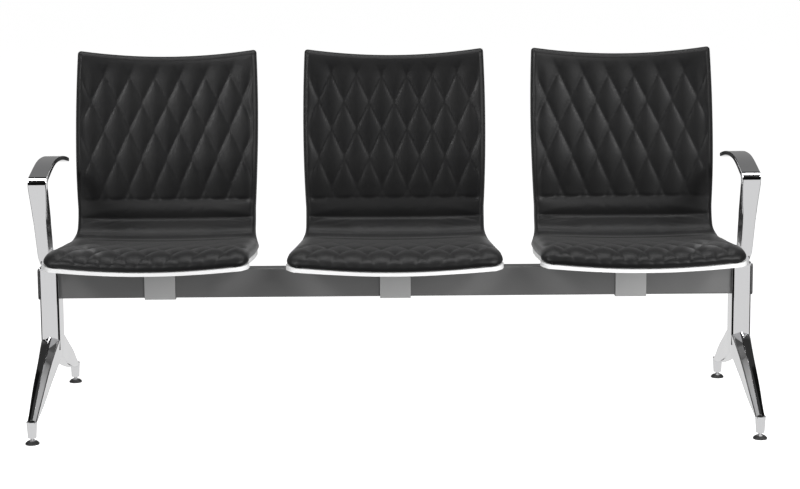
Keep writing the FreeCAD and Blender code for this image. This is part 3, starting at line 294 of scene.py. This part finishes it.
def half_width(distance):
    """Half the seat's width: even on the seat, drawn in at the bend, bulging a little up the back."""
    seat = FRONT_HALF + (WAIST_HALF - FRONT_HALF) * np.clip(distance / BEND_START, 0, 1)
    narrowed = smooth(BEND_START + WAIST_SPAN[0], BEND_START + WAIST_SPAN[1], distance)
    seat = seat + (BEND_HALF - WAIST_HALF) * narrowed
    rise = np.clip((distance - BEND_END) / (SEAT_LENGTH - BEND_END), 0, 1)
    back = BEND_HALF + (TOP_HALF - BEND_HALF) * rise + 4 * rise * (1 - rise) * BACK_BULGE
    return np.where(distance <= BEND_END, seat, back)


def solid_half_width(distance):
    """Half the width of the shell's solid on the seat."""
    left = np.clip(1 - distance / BEND_END, 0, 1)
    return SOLID_BEND_HALF + (SOLID_FRONT_HALF - SOLID_BEND_HALF) * left**SOLID_TAPER


def front_rise(share, distance):
    """How far the front corners of the seat turn up."""
    return FRONT_RISE * share**2 * (1 - smooth(0, RISE_FADE, distance))


def narrowing(seat, distance):
    """By which share the front of an outer seat is narrower than that of the centre one."""
    if seat == "centre":
        return np.zeros_like(distance)
    return OUTER_NARROWING * (1 - smooth(0, BEND_START, distance))


def front_lift(seat, distance):
    """How much higher the front of an outer seat is than that of the centre one."""
    if seat == "centre":
        return np.zeros_like(distance)
    return OUTER_LIFT * (1 - smooth(0, RISE_FADE, distance))


def end_shift(across, distance):
    """How far the bowed front edge and the dipping top edge move a point along the seat."""
    share = across / half_width(distance)
    bow = SEAT_BOW * share**2 * (1 - smooth(0, BOW_FADE, distance))
    near_top = smooth(BEND_END + LUMBAR, SEAT_LENGTH, distance)
    return bow - BACK_DIP * (1 - share**2) * near_top


def seat_surface(across, distance, height):
    """Points at a height over the shell's upper face."""
    y, z, heading = (np.interp(distance, LINE_TABLE, column) for column in LINE_POINTS.T)
    share = across / half_width(distance)
    z = z + front_rise(share, distance)
    dish = SEAT_DISH + (BACK_DISH - SEAT_DISH) * smooth(BEND_START, BEND_END, distance)
    lift = height + dish * share**2
    return np.stack([across, y - lift * np.sin(heading), z + lift * np.cos(heading)], axis=-1)


# Meshes


def mesh_points(mesh):
    """The places of a mesh's points, one row each."""
    points = np.empty(len(mesh.vertices) * 3)
    mesh.vertices.foreach_get("co", points)
    return points.reshape(-1, 3)


def new_object(name, data):
    """An object of the scene."""
    item = bpy.data.objects.new(name, data)
    bpy.context.scene.collection.objects.link(item)
    return item


def middle_of(node):
    """The middle of a CAD node along the beam."""
    low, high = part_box(node)
    return (low.x + high.x) / 2


def make_piece(name, node, mesh):
    """A piece of the bench that stands for a CAD node."""
    piece = new_object(name, mesh)
    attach(piece, BENCH)
    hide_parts(node)
    return piece


def warped_piece(name, node, mesh, points, material):
    """A piece with the copied mesh of a CAD node, its points moved, that stands for the node."""
    mesh.vertices.foreach_set("co", points.ravel())
    for index in range(len(mesh.materials)):
        mesh.materials[index] = material
    make_piece(name, node, mesh)


def rings_to_faces(rings, points):
    """Quads between closed rings of the same number of points."""
    faces = []
    for ring in range(rings - 1):
        near = ring * points
        for step in range(points):
            following = (step + 1) % points
            faces.append((near + step, near + following, near + points + following, near + points + step))
    return faces


# Form of the quilted pad


def diamonds(across, distance):
    """1 in the middle of each diamond of the quilting and 0 on its seams."""
    quarter_across = QUILT_PITCH / 4
    quarter_along = QUILT_ROW / 4
    seat_row = (distance - SEAT_QUILT_START) / quarter_along
    back_row = (distance - BACK_QUILT_START) / quarter_along + 1
    row = np.where(distance < (SEAT_QUILT_END + BACK_QUILT_START) / 2, seat_row, back_row)
    column = across / quarter_across
    return np.abs(np.sin(math.pi * (column + row) / 4) * np.sin(math.pi * (column - row) / 4))


def seam_share(across, distance):
    """1 away from every seam of the pad and 0 on them; the plain parts hold no diamonds."""
    plain = (distance > SEAT_QUILT_END) & (distance < BAND[1])
    crossing = min(abs(distance - seam) for seam in BAND) / SEAM_REACH
    return np.minimum(np.where(plain, 1, diamonds(across, distance)), min(crossing, 1))


def quilt_height(across, distance):
    """Height of the quilting, 1 on a pillow and 0 in the seams, and the depth of its seams."""
    pillow = diamonds(across, distance) ** PILLOW_POWER
    in_front = 1 - smooth(*FRONT_FADE, distance)
    on_seat = SEAT_QUILT_DEPTH + (FRONT_QUILT_DEPTH - SEAT_QUILT_DEPTH) * in_front
    on_seat = on_seat * (1 - smooth(*SEAT_QUILT_FADE, distance))
    on_back = QUILT_DEPTH * smooth(BAND[1], BAND[1] + SEAM_WIDTH, distance)
    near_top = smooth(*TOP_FADE, SEAT_LENGTH - distance)
    return pillow, np.maximum(on_seat, on_back) * near_top


def seam_dip(distance):
    """The two straight seams across the pad, above and below the plain band."""
    dip = 0
    for seam in BAND:
        dip = dip + np.exp(-(((distance - seam) / SEAM_WIDTH) ** 2))
    return dip


def band_roll(distance):
    """1 along the middle of the plain band and 0 at its seams."""
    turn = np.clip((distance - BAND[0]) / (BAND[1] - BAND[0]), 0, 1)
    return np.sin(math.pi * turn)


def pad_height(distance):
    """Thickness of the pad along the seat's line."""
    to_bend = smooth(BEND_START - 2 * PAD_BLEND, BEND_START + PAD_BLEND, distance)
    to_back = smooth(BEND_END - PAD_BLEND, BEND_END + PAD_BLEND, distance)
    return PAD_SEAT + (PAD_BEND - PAD_SEAT) * to_bend + (PAD_BACK - PAD_BEND) * to_back


def side_round(distance):
    """Width of the rounding at the pad's sides: soft on the seat and tight up the back."""
    upright = smooth(BEND_START - PAD_BLEND, BEND_START + PAD_BLEND, distance)
    return SEAT_SIDE_ROUND + (SIDE_ROUND - SEAT_SIDE_ROUND) * upright


def pad_face_height(inset, across, distance):
    """Height of the pad's face over the shell."""
    full = pad_height(distance) + BAND_BULGE * band_roll(distance)
    rounding = quarter_round(inset, side_round(distance))
    rounding = rounding * quarter_round(distance, FRONT_ROUND)
    rounding = rounding * quarter_round(SEAT_LENGTH - distance, TOP_ROUND)
    pillow, depth = quilt_height(across, distance)
    fade = smooth(*EDGE_FADE, inset)
    sink = depth * (1 - pillow) * fade
    sink = sink + BAND_DEPTH * seam_dip(distance) * fade
    to_edge = np.minimum(inset, SEAT_LENGTH - distance)
    sink = sink + WELT_DEPTH * np.exp(-(((to_edge - WELT_INSET) / WELT_WIDTH) ** 2))
    return PAD_RIM + (full - PAD_RIM - sink) * rounding


# Mesh of the quilted pad


def edge_steps(width, count):
    """Insets of a quarter round, evenly turned, from 0 to its width."""
    return [width * (1 - math.cos(math.pi / 2 * step / count)) for step in range(count)]


def pad_rows():
    """(distance, tucked height or None) of each ring of the pad, from its front to its top."""
    first = FRONT_ROUND
    last = SEAT_LENGTH - TOP_ROUND
    count = round((last - first) / STEP_ALONG)
    front = TUCK + [(inset, None) for inset in edge_steps(FRONT_ROUND, FRONT_STEPS)]
    middle = [(first + (last - first) * step / count, None) for step in range(count + 1)]
    top = [(SEAT_LENGTH - inset, None) for inset in reversed(edge_steps(TOP_ROUND, TOP_STEPS))]
    top += [(SEAT_LENGTH - inset, height) for inset, height in reversed(TUCK)]
    return front + middle + top


def end_faces(first, upper, lower):
    """Closes one end of the pad with a face for each span of its underside."""
    below = [first] + [first + upper + lower - 1 - step for step in range(lower)] + [first + upper - 1]
    cuts = [round(step * (upper - 1) / (lower + 1)) for step in range(lower + 2)]
    faces = []
    for span in range(lower + 1):
        above = [first + step for step in range(cuts[span], cuts[span + 1] + 1)]
        corners = [below[span], below[span + 1]] + above[::-1]
        faces.append(tuple(dict.fromkeys(corners)))
    return faces


def pad_ring(distance, tucked, shares, lattice):
    """One ring of the pad: points of its cover and of its underside, and how firmly the cover is sewn."""
    half = half_width(distance)
    half = half - setback(distance, FRONT_CORNER) - setback(SEAT_LENGTH - distance, TOP_CORNER)
    rounding = side_round(distance)
    insets = np.array([inset for inset, _ in TUCK] + [share * rounding for share in shares])
    tucks = [height for _, height in TUCK] + [OVER_THE_PAD] * len(shares)
    across = np.concatenate([insets - half, lattice * (half - rounding), half - insets[::-1]])
    under = np.array(tucks + [OVER_THE_PAD] * len(lattice) + tucks[::-1])
    inset = np.clip(half - np.abs(across), 0, None)
    along = np.full_like(across, distance)
    height = np.minimum(pad_face_height(inset, across, along), under)
    if tucked is not None:
        height = np.minimum(height, tucked)
    cover = seat_surface(across, along + end_shift(across, along), height)
    kept = min(max(distance, UNDERSIDE_INSET), SEAT_LENGTH - UNDERSIDE_INSET)
    below = np.linspace(across[-1], across[0], SPANS_BELOW + 1)[1:-1]
    along = np.full_like(below, kept)
    underside = seat_surface(below, along + end_shift(below, along), PAD_GAP)
    sewn = 1 - smooth(*SEWN, seam_share(across, distance))
    sewn = np.where((inset < HELD_EDGE) | (tucked is not None), 1, sewn)
    sewn = np.where(min(distance, SEAT_LENGTH - distance) < HELD_EDGE, 1, sewn)
    return cover, underside, sewn


def pad_mesh():
    """Points and faces of one pad about the seat's middle, and how firmly each point is held."""
    shares = [inset / SIDE_ROUND for inset in edge_steps(SIDE_ROUND, SIDE_STEPS)]
    lattice = np.linspace(-1, 1, round(2 * (BEND_HALF - SIDE_ROUND) / STEP_ACROSS) + 1)
    rows = pad_rows()
    points = []
    held = []
    for distance, tucked in rows:
        cover, underside, sewn = pad_ring(distance, tucked, shares, lattice)
        points += [cover, underside]
        held += [sewn, np.ones(len(underside))]
    upper = len(cover)
    lower = len(underside)
    ring = upper + lower
    faces = rings_to_faces(len(rows), ring)
    faces += [face[::-1] for face in end_faces(0, upper, lower)]
    faces += end_faces((len(rows) - 1) * ring, upper, lower)
    return np.concatenate(points), faces, np.concatenate(held)


def fill_pad(piece, held):
    """Lets the cover swell between its seams as cloth under pressure, and returns the new points."""
    group = piece.vertex_groups.new(name="sewn")
    for index in np.flatnonzero(held > HELD_LEAST):
        group.add([int(index)], float(held[index]), "REPLACE")
    cloth = piece.modifiers.new("fill", "CLOTH")
    cloth.settings.quality = FILL_QUALITY
    cloth.settings.mass = COVER_MASS
    cloth.settings.tension_stiffness = COVER_STRETCH
    cloth.settings.compression_stiffness = COVER_STRETCH
    cloth.settings.shear_stiffness = COVER_SHEAR
    cloth.settings.bending_stiffness = COVER_BENDING
    cloth.settings.vertex_group_mass = group.name
    cloth.settings.use_pressure = True
    cloth.settings.uniform_pressure_force = FILL_PRESSURE
    cloth.settings.effector_weights.gravity = 0
    cloth.collision_settings.use_collision = False
    cloth.collision_settings.use_self_collision = False
    scene = bpy.context.scene
    for step in range(1, FILL_STEPS + 1):
        scene.frame_set(step)
    swollen = piece.evaluated_get(bpy.context.evaluated_depsgraph_get())
    points = mesh_points(swollen.data)
    piece.modifiers.remove(cloth)
    piece.vertex_groups.remove(group)
    scene.frame_set(1)
    return points


def filled(points, faces, held):
    """The pad's points after its filling has swelled it, each moved by no more than the cap."""
    ring = faces[0][2] - faces[0][1]
    upper = ring - SPANS_BELOW + 1
    cover = [face for face in faces if len(face) == 4 and max(corner % ring for corner in face) < upper]
    mesh = bpy.data.meshes.new("slack_pad")
    mesh.from_pydata([tuple(point) for point in points], [], cover)
    slack = new_object("slack_pad", mesh)
    moved = fill_pad(slack, held) - points
    bpy.data.objects.remove(slack)
    bpy.data.meshes.remove(mesh)
    reach = np.linalg.norm(moved, axis=1)
    return points + moved * np.minimum(1, FILL_CAP / np.maximum(reach, TINY))[:, None]


# Pieces that stand for CAD nodes


def make_pads(material):
    """The quilted pads, whose front is a little narrower and higher on the outer seats."""
    points, faces, held = pad_mesh()
    points = filled(points, faces, held)
    distance = line_distance(points)
    for seat in SEATS:
        name, node = f"quilted_pad_{seat}", f"seat_pad_{seat}"
        placed = points.copy()
        placed[:, 0] *= 1 - narrowing(seat, distance)
        placed[:, 2] += front_lift(seat, distance)
        placed[:, 0] += middle_of(node)
        mesh = bpy.data.meshes.new(name)
        mesh.from_pydata([tuple(point) for point in placed], [], faces)
        mesh.validate()
        mesh.shade_smooth()
        mesh.materials.append(material)
        piece = make_piece(name, node, mesh)


def make_shells(material):
    """The shells with their sides drawn in under the pads, a thinner lip and the front's rise."""
    for seat in SEATS:
        node = f"seat_shell_{seat}"
        mesh = frame["nodes"][node].data.copy()
        points = mesh_points(mesh)
        distance = line_distance(points)
        across = points[:, 0] - middle_of(node)
        bowed = (across / solid_half_width(distance)) ** 2 * (1 - smooth(0, BOW_FADE, distance))
        edge = np.clip(distance - SOLID_BOW * bowed, 0, None)
        solid_half = solid_half_width(edge) - setback(edge, SOLID_CORNER)
        draw = solid_half - half_width(edge) * (1 - narrowing(seat, edge)) + setback(edge, FRONT_CORNER)
        draw = draw * smooth(*DRAW_SHARE, np.abs(across) / solid_half)
        points[:, 0] -= np.sign(across) * np.where(distance < BEND_END, draw, 0)
        points[:, 1] -= (SOLID_BOW - SEAT_BOW) * bowed
        below = np.clip(np.interp(distance, LINE_TABLE, LINE_POINTS[:, 1]) - points[:, 2], 0, None)
        points[:, 2] += LIP_THINNING * below * (1 - smooth(*LIP_FADE, distance))
        points[:, 2] += front_rise(across / solid_half, distance) + front_lift(seat, distance)
        warped_piece(f"moulded_shell_{seat}", node, mesh, points, material)


def make_arms(material):
    """The armrests, leaning in and crowned a little more than their solids."""
    for side, sign in SIDES.items():
        node = f"arm_{side}"
        mesh = frame["nodes"][node].data.copy()
        points = mesh_points(mesh)
        lean = ARM_LEAN * smooth(*ARM_LEAN_SPAN, points[:, 2])
        rise = ARM_RISE * smooth(*ARM_RISE_SPAN, points[:, 1]) * (points[:, 2] > ARM_RISE_START)
        points[:, 0] -= sign * lean
        points[:, 2] += rise
        warped_piece(f"cast_arm_{side}", node, mesh, points, material)


# Materials


def new_material(name):
    """A material, its node tree and the inputs of its Principled shader."""
    material = bpy.data.materials.new(name)
    material.use_nodes = True
    tree = material.node_tree
    return material, tree, tree.nodes["Principled BSDF"].inputs


def set_inputs(inputs, values):
    """Sets the inputs of a node by their names."""
    for name, value in values.items():
        inputs[name].default_value = value


def texture(tree, kind, **settings):
    """A procedural texture on object coordinates, which are metres."""
    place = tree.nodes.new("ShaderNodeTexCoord")
    node = tree.nodes.new(kind)
    tree.links.new(place.outputs["Object"], node.inputs["Vector"])
    set_inputs(node.inputs, settings)
    return node


def noise(tree, **settings):
    """The value of a noise texture."""
    return texture(tree, "ShaderNodeTexNoise", **settings).outputs["Fac"]


def cells(tree, scale):
    """The distance from the middle of each cell of a cell texture."""
    return texture(tree, "ShaderNodeTexVoronoi", Scale=scale, Randomness=1.0).outputs["Distance"]


def ramp(tree, source, stops, target):
    """A colour ramp from a value to an input; stops are (position, grey or colour)."""
    node = tree.nodes.new("ShaderNodeValToRGB")
    tree.links.new(source, node.inputs["Fac"])
    while len(node.color_ramp.elements) < len(stops):
        node.color_ramp.elements.new(0.5)
    for element, (position, colour) in zip(node.color_ramp.elements, stops):
        element.position = position
        element.color = (*colour, 1) if isinstance(colour, tuple) else (colour, colour, colour, 1)
    tree.links.new(node.outputs["Color"], target)


def bump(tree, height, target, distance, strength):
    """A bump that feeds a normal input; the distance is in metres. Returns its own normal input."""
    node = tree.nodes.new("ShaderNodeBump")
    set_inputs(node.inputs, {"Distance": distance, "Strength": strength})
    tree.links.new(height, node.inputs["Height"])
    tree.links.new(node.outputs["Normal"], target)
    return node.inputs["Normal"]


def leather():
    """Black leather with fine pores, soft creases and a dull sheen."""
    material, tree, surface = new_material("black_leather")
    pores = cells(tree, scale=620.0)
    creases = noise(tree, Scale=160.0, Detail=6.0, Roughness=0.65)
    clouds = noise(tree, Scale=9.0, Detail=3.0)
    tones = [(0.3, (0.0078, 0.0078, 0.0082)), (0.75, (0.0120, 0.0118, 0.0120))]
    roughness = [(0.3, 0.36), (0.7, 0.48)]
    ramp(tree, clouds, tones, surface["Base Color"])
    ramp(tree, creases, roughness, surface["Roughness"])
    grain = bump(tree, creases, surface["Normal"], distance=0.0006, strength=0.25)
    bump(tree, pores, grain, distance=0.0004, strength=0.2)
    set_inputs(surface, {"Specular IOR Level": 0.24, "Sheen Weight": 0.18, "Sheen Roughness": 0.4})
    return material


def polished_aluminium():
    """Polished casting with a faint haze and the slight waves of hand polishing."""
    material, tree, surface = new_material("polished_aluminium")
    set_inputs(surface, {"Metallic": 1, "Base Color": (0.86, 0.86, 0.87, 1)})
    haze = noise(tree, Scale=35.0, Detail=4.0)
    waves = noise(tree, Scale=14.0, Detail=2.0)
    roughness = [(0.3, 0.04), (0.8, 0.08)]
    ramp(tree, haze, roughness, surface["Roughness"])
    bump(tree, waves, surface["Normal"], distance=0.0012, strength=0.06)
    return material


def painted(name, tones, roughness):
    """Fine-textured powder coat."""
    material, tree, surface = new_material(name)
    orange_peel = noise(tree, Scale=900.0, Detail=2.0)
    clouds = noise(tree, Scale=5.0, Detail=3.0)
    ramp(tree, clouds, list(zip(NOISE_SPAN, tones)), surface["Base Color"])
    ramp(tree, orange_peel, list(zip(NOISE_SPAN, roughness)), surface["Roughness"])
    bump(tree, orange_peel, surface["Normal"], distance=0.0002, strength=0.15)
    return material


def moulded(name, tones, roughness):
    """Moulded plastic with a fine spark-eroded grain."""
    material, tree, surface = new_material(name)
    grain = cells(tree, scale=1100.0)
    flow = noise(tree, Scale=7.0, Detail=3.0)
    ramp(tree, flow, list(zip(NOISE_SPAN, tones)), surface["Base Color"])
    ramp(tree, flow, list(zip(NOISE_SPAN, roughness)), surface["Roughness"])
    bump(tree, grain, surface["Normal"], distance=0.0002, strength=0.12)
    return material


def zinc():
    """Zinc-plated steel with a fine spangle."""
    material, tree, surface = new_material("zinc_plate")
    set_inputs(surface, {"Metallic": 1})
    spangle = cells(tree, scale=260.0)
    tones = [(0.0, (0.50, 0.50, 0.51)), (0.6, (0.66, 0.66, 0.67))]
    roughness = [(0.0, 0.28), (0.6, 0.42)]
    ramp(tree, spangle, tones, surface["Base Color"])
    ramp(tree, spangle, roughness, surface["Roughness"])
    return material


def dress_frame():
    """Gives every CAD node that stays its material, and returns the materials by slot."""
    by_slot = {
        "beam_paint": painted("beam_powder_coat", tones=(0.095, 0.115), roughness=(0.37, 0.47)),
        "cap_plastic": moulded("cap_plastic", tones=(0.05, 0.065), roughness=(0.45, 0.53)),
        "polished_casting": polished_aluminium(),
        "zinc_steel": zinc(),
        "glide_plastic": moulded("glide_plastic", tones=(0.018, 0.028), roughness=(0.40, 0.48)),
        "shell_plastic": moulded("shell_plastic", tones=(0.66, 0.70), roughness=(0.32, 0.40)),
        "bracket_paint": painted("bracket_powder_coat", tones=(0.33, 0.38), roughness=(0.35, 0.45)),
        "quilted_leather": leather(),
    }
    for part in frame["record"]["subparts"]:
        node = frame["nodes"][part["node"]]
        for slot in node.material_slots:
            slot.material = by_slot[part["material_slot"]]
    return by_slot


# Stage, light and camera


def flat_sheet(name, low, high, material):
    """A flat backdrop or card of the studio between two opposite corners."""
    first, second = (axis for axis in range(3) if low[axis] != high[axis])
    along = [high[axis] if axis == first else low[axis] for axis in range(3)]
    back = [high[axis] if axis == second else low[axis] for axis in range(3)]
    mesh = bpy.data.meshes.new(name)
    mesh.from_pydata([low, along, high, back], [], [(0, 1, 2, 3)])
    mesh.materials.append(material)
    sheet = new_object(name, mesh)
    return sheet


def seen_and_reflected(tree, seen, reflected, output):
    """Shows one shader to the eye, and another in reflections and as light."""
    rays = tree.nodes.new("ShaderNodeLightPath")
    choice = tree.nodes.new("ShaderNodeMixShader")
    factor, otherwise, for_the_eye = choice.inputs
    tree.links.new(rays.outputs["Is Camera Ray"], factor)
    tree.links.new(reflected, otherwise)
    tree.links.new(seen, for_the_eye)
    tree.links.new(choice.outputs["Shader"], output.inputs["Surface"])


def make_floor():
    """A white floor: the eye sees it lit to white, reflections see it light grey."""
    material, tree, surface = new_material("white_floor")
    set_inputs(surface, {"Base Color": (0.8, 0.8, 0.8, 1), "Roughness": 0.9, "Specular IOR Level": 0.0})
    set_inputs(surface, {"Emission Color": WHITE, "Emission Strength": FLOOR_GLOW})
    grey = tree.nodes.new("ShaderNodeEmission")
    set_inputs(grey.inputs, {"Color": WHITE, "Strength": FLOOR_TONE})
    lit = tree.nodes["Principled BSDF"].outputs["BSDF"]
    seen_and_reflected(tree, lit, grey.outputs["Emission"], tree.nodes["Material Output"])
    flat_sheet("floor", *FLOOR, material)


def make_cards():
    """Black and white cards that only reflections see: painted dark and light reflections, casting no
    shadow and giving no diffuse light.
    """
    black, _, surface = new_material("black_card")
    set_inputs(surface, {"Base Color": (0.01, 0.01, 0.01, 1), "Specular IOR Level": 0.0})
    cards = [flat_sheet(name, *corners, black) for name, corners in BLACK_CARDS.items()]
    white, _, surface = new_material("white_card")
    set_inputs(surface, {"Emission Color": WHITE, "Emission Strength": WHITE_TONE})
    cards += [flat_sheet(name, *corners, white) for name, corners in WHITE_CARDS.items()]
    for card in cards:
        card.visible_camera = False
        card.visible_diffuse = False
        card.visible_shadow = False


def make_world():
    """White for the eye; in reflections and as light it is a studio, lighter behind the bench."""
    world = bpy.data.worlds.new("studio")
    bpy.context.scene.world = world
    world.use_nodes = True
    tree = world.node_tree
    studio = tree.nodes["Background"]
    place = tree.nodes.new("ShaderNodeTexCoord")
    split = tree.nodes.new("ShaderNodeSeparateXYZ")
    tree.links.new(place.outputs["Generated"], split.inputs["Vector"])
    # From -1 in front and 1 behind to 0 and 1
    share = tree.nodes.new("ShaderNodeMath")
    share.operation = "MULTIPLY_ADD"
    direction, factor, offset = share.inputs
    factor.default_value = 0.5
    offset.default_value = 0.5
    tree.links.new(split.outputs["Y"], direction)
    ramp(tree, share.outputs["Value"], STUDIO_TONES, studio.inputs["Color"])
    backdrop = tree.nodes.new("ShaderNodeBackground")
    set_inputs(studio.inputs, {"Strength": 1.0})
    set_inputs(backdrop.inputs, {"Color": WHITE, "Strength": 1.0})
    output = tree.nodes["World Output"]
    seen_and_reflected(tree, backdrop.outputs["Background"], studio.outputs["Background"], output)


def area_light(name, place, target, width, height, power):
    """A softbox aimed at a point, which the camera doesn't see."""
    light = bpy.data.lights.new(name, "AREA")
    light.shape = "RECTANGLE"
    light.size = width
    light.size_y = height
    light.energy = power
    lamp = new_object(name, light)
    lamp.location = place
    lamp.rotation_euler = (Vector(target) - Vector(place)).to_track_quat("-Z", "Y").to_euler()
    lamp.visible_camera = False
    return lamp


def light_only(lamp, nodes):
    """Keeps a lamp to some nodes of the frame and to the pieces that stand for them."""
    lit = bpy.data.collections.new(f"{lamp.name}_receivers")
    for node in nodes:
        lit.objects.link(frame["nodes"][node])
        kind, _, place = node.rpartition("_")
        if kind in STAND_INS:
            lit.objects.link(bpy.data.objects[f"{STAND_INS[kind]}_{place}"])
    lamp.light_linking.receiver_collection = lit


def make_lights():
    """The softboxes; the last three are kept to the pieces that need them."""
    lamps = {name: area_light(name, *settings) for name, settings in LAMPS.items()}
    arms = [f"arm_{side}" for side in SIDES]
    castings = arms + [f"leg_{side}" for side in SIDES]
    others = [part["node"] for part in frame["record"]["subparts"] if part["node"] not in castings]
    light_only(lamps["top_softbox"], others)
    light_only(lamps["front_fill"], [node for node in others if "pad" not in node])
    light_only(lamps["arm_strip"], arms)


def make_camera():
    """The camera at the photograph's place and angle."""
    data = bpy.data.cameras.new("camera")
    data.lens = CAMERA_LENS
    data.sensor_width = CAMERA_SENSOR
    data.shift_y = CAMERA_SHIFT
    camera = new_object("camera", data)
    tilt = Matrix.Rotation(math.radians(90 - CAMERA_PITCH), 4, "X")
    roll = Matrix.Rotation(math.radians(CAMERA_ROLL), 4, "Z")
    camera.matrix_world = Matrix.Translation(CAMERA_PLACE) @ tilt @ roll
    bpy.context.scene.camera = camera


materials = dress_frame()
make_pads(materials["quilted_leather"])
make_shells(materials["shell_plastic"])
make_arms(materials["polished_casting"])
make_floor()
make_cards()
make_world()
make_lights()
make_camera()
bpy.context.scene.view_settings.view_transform = "Standard"
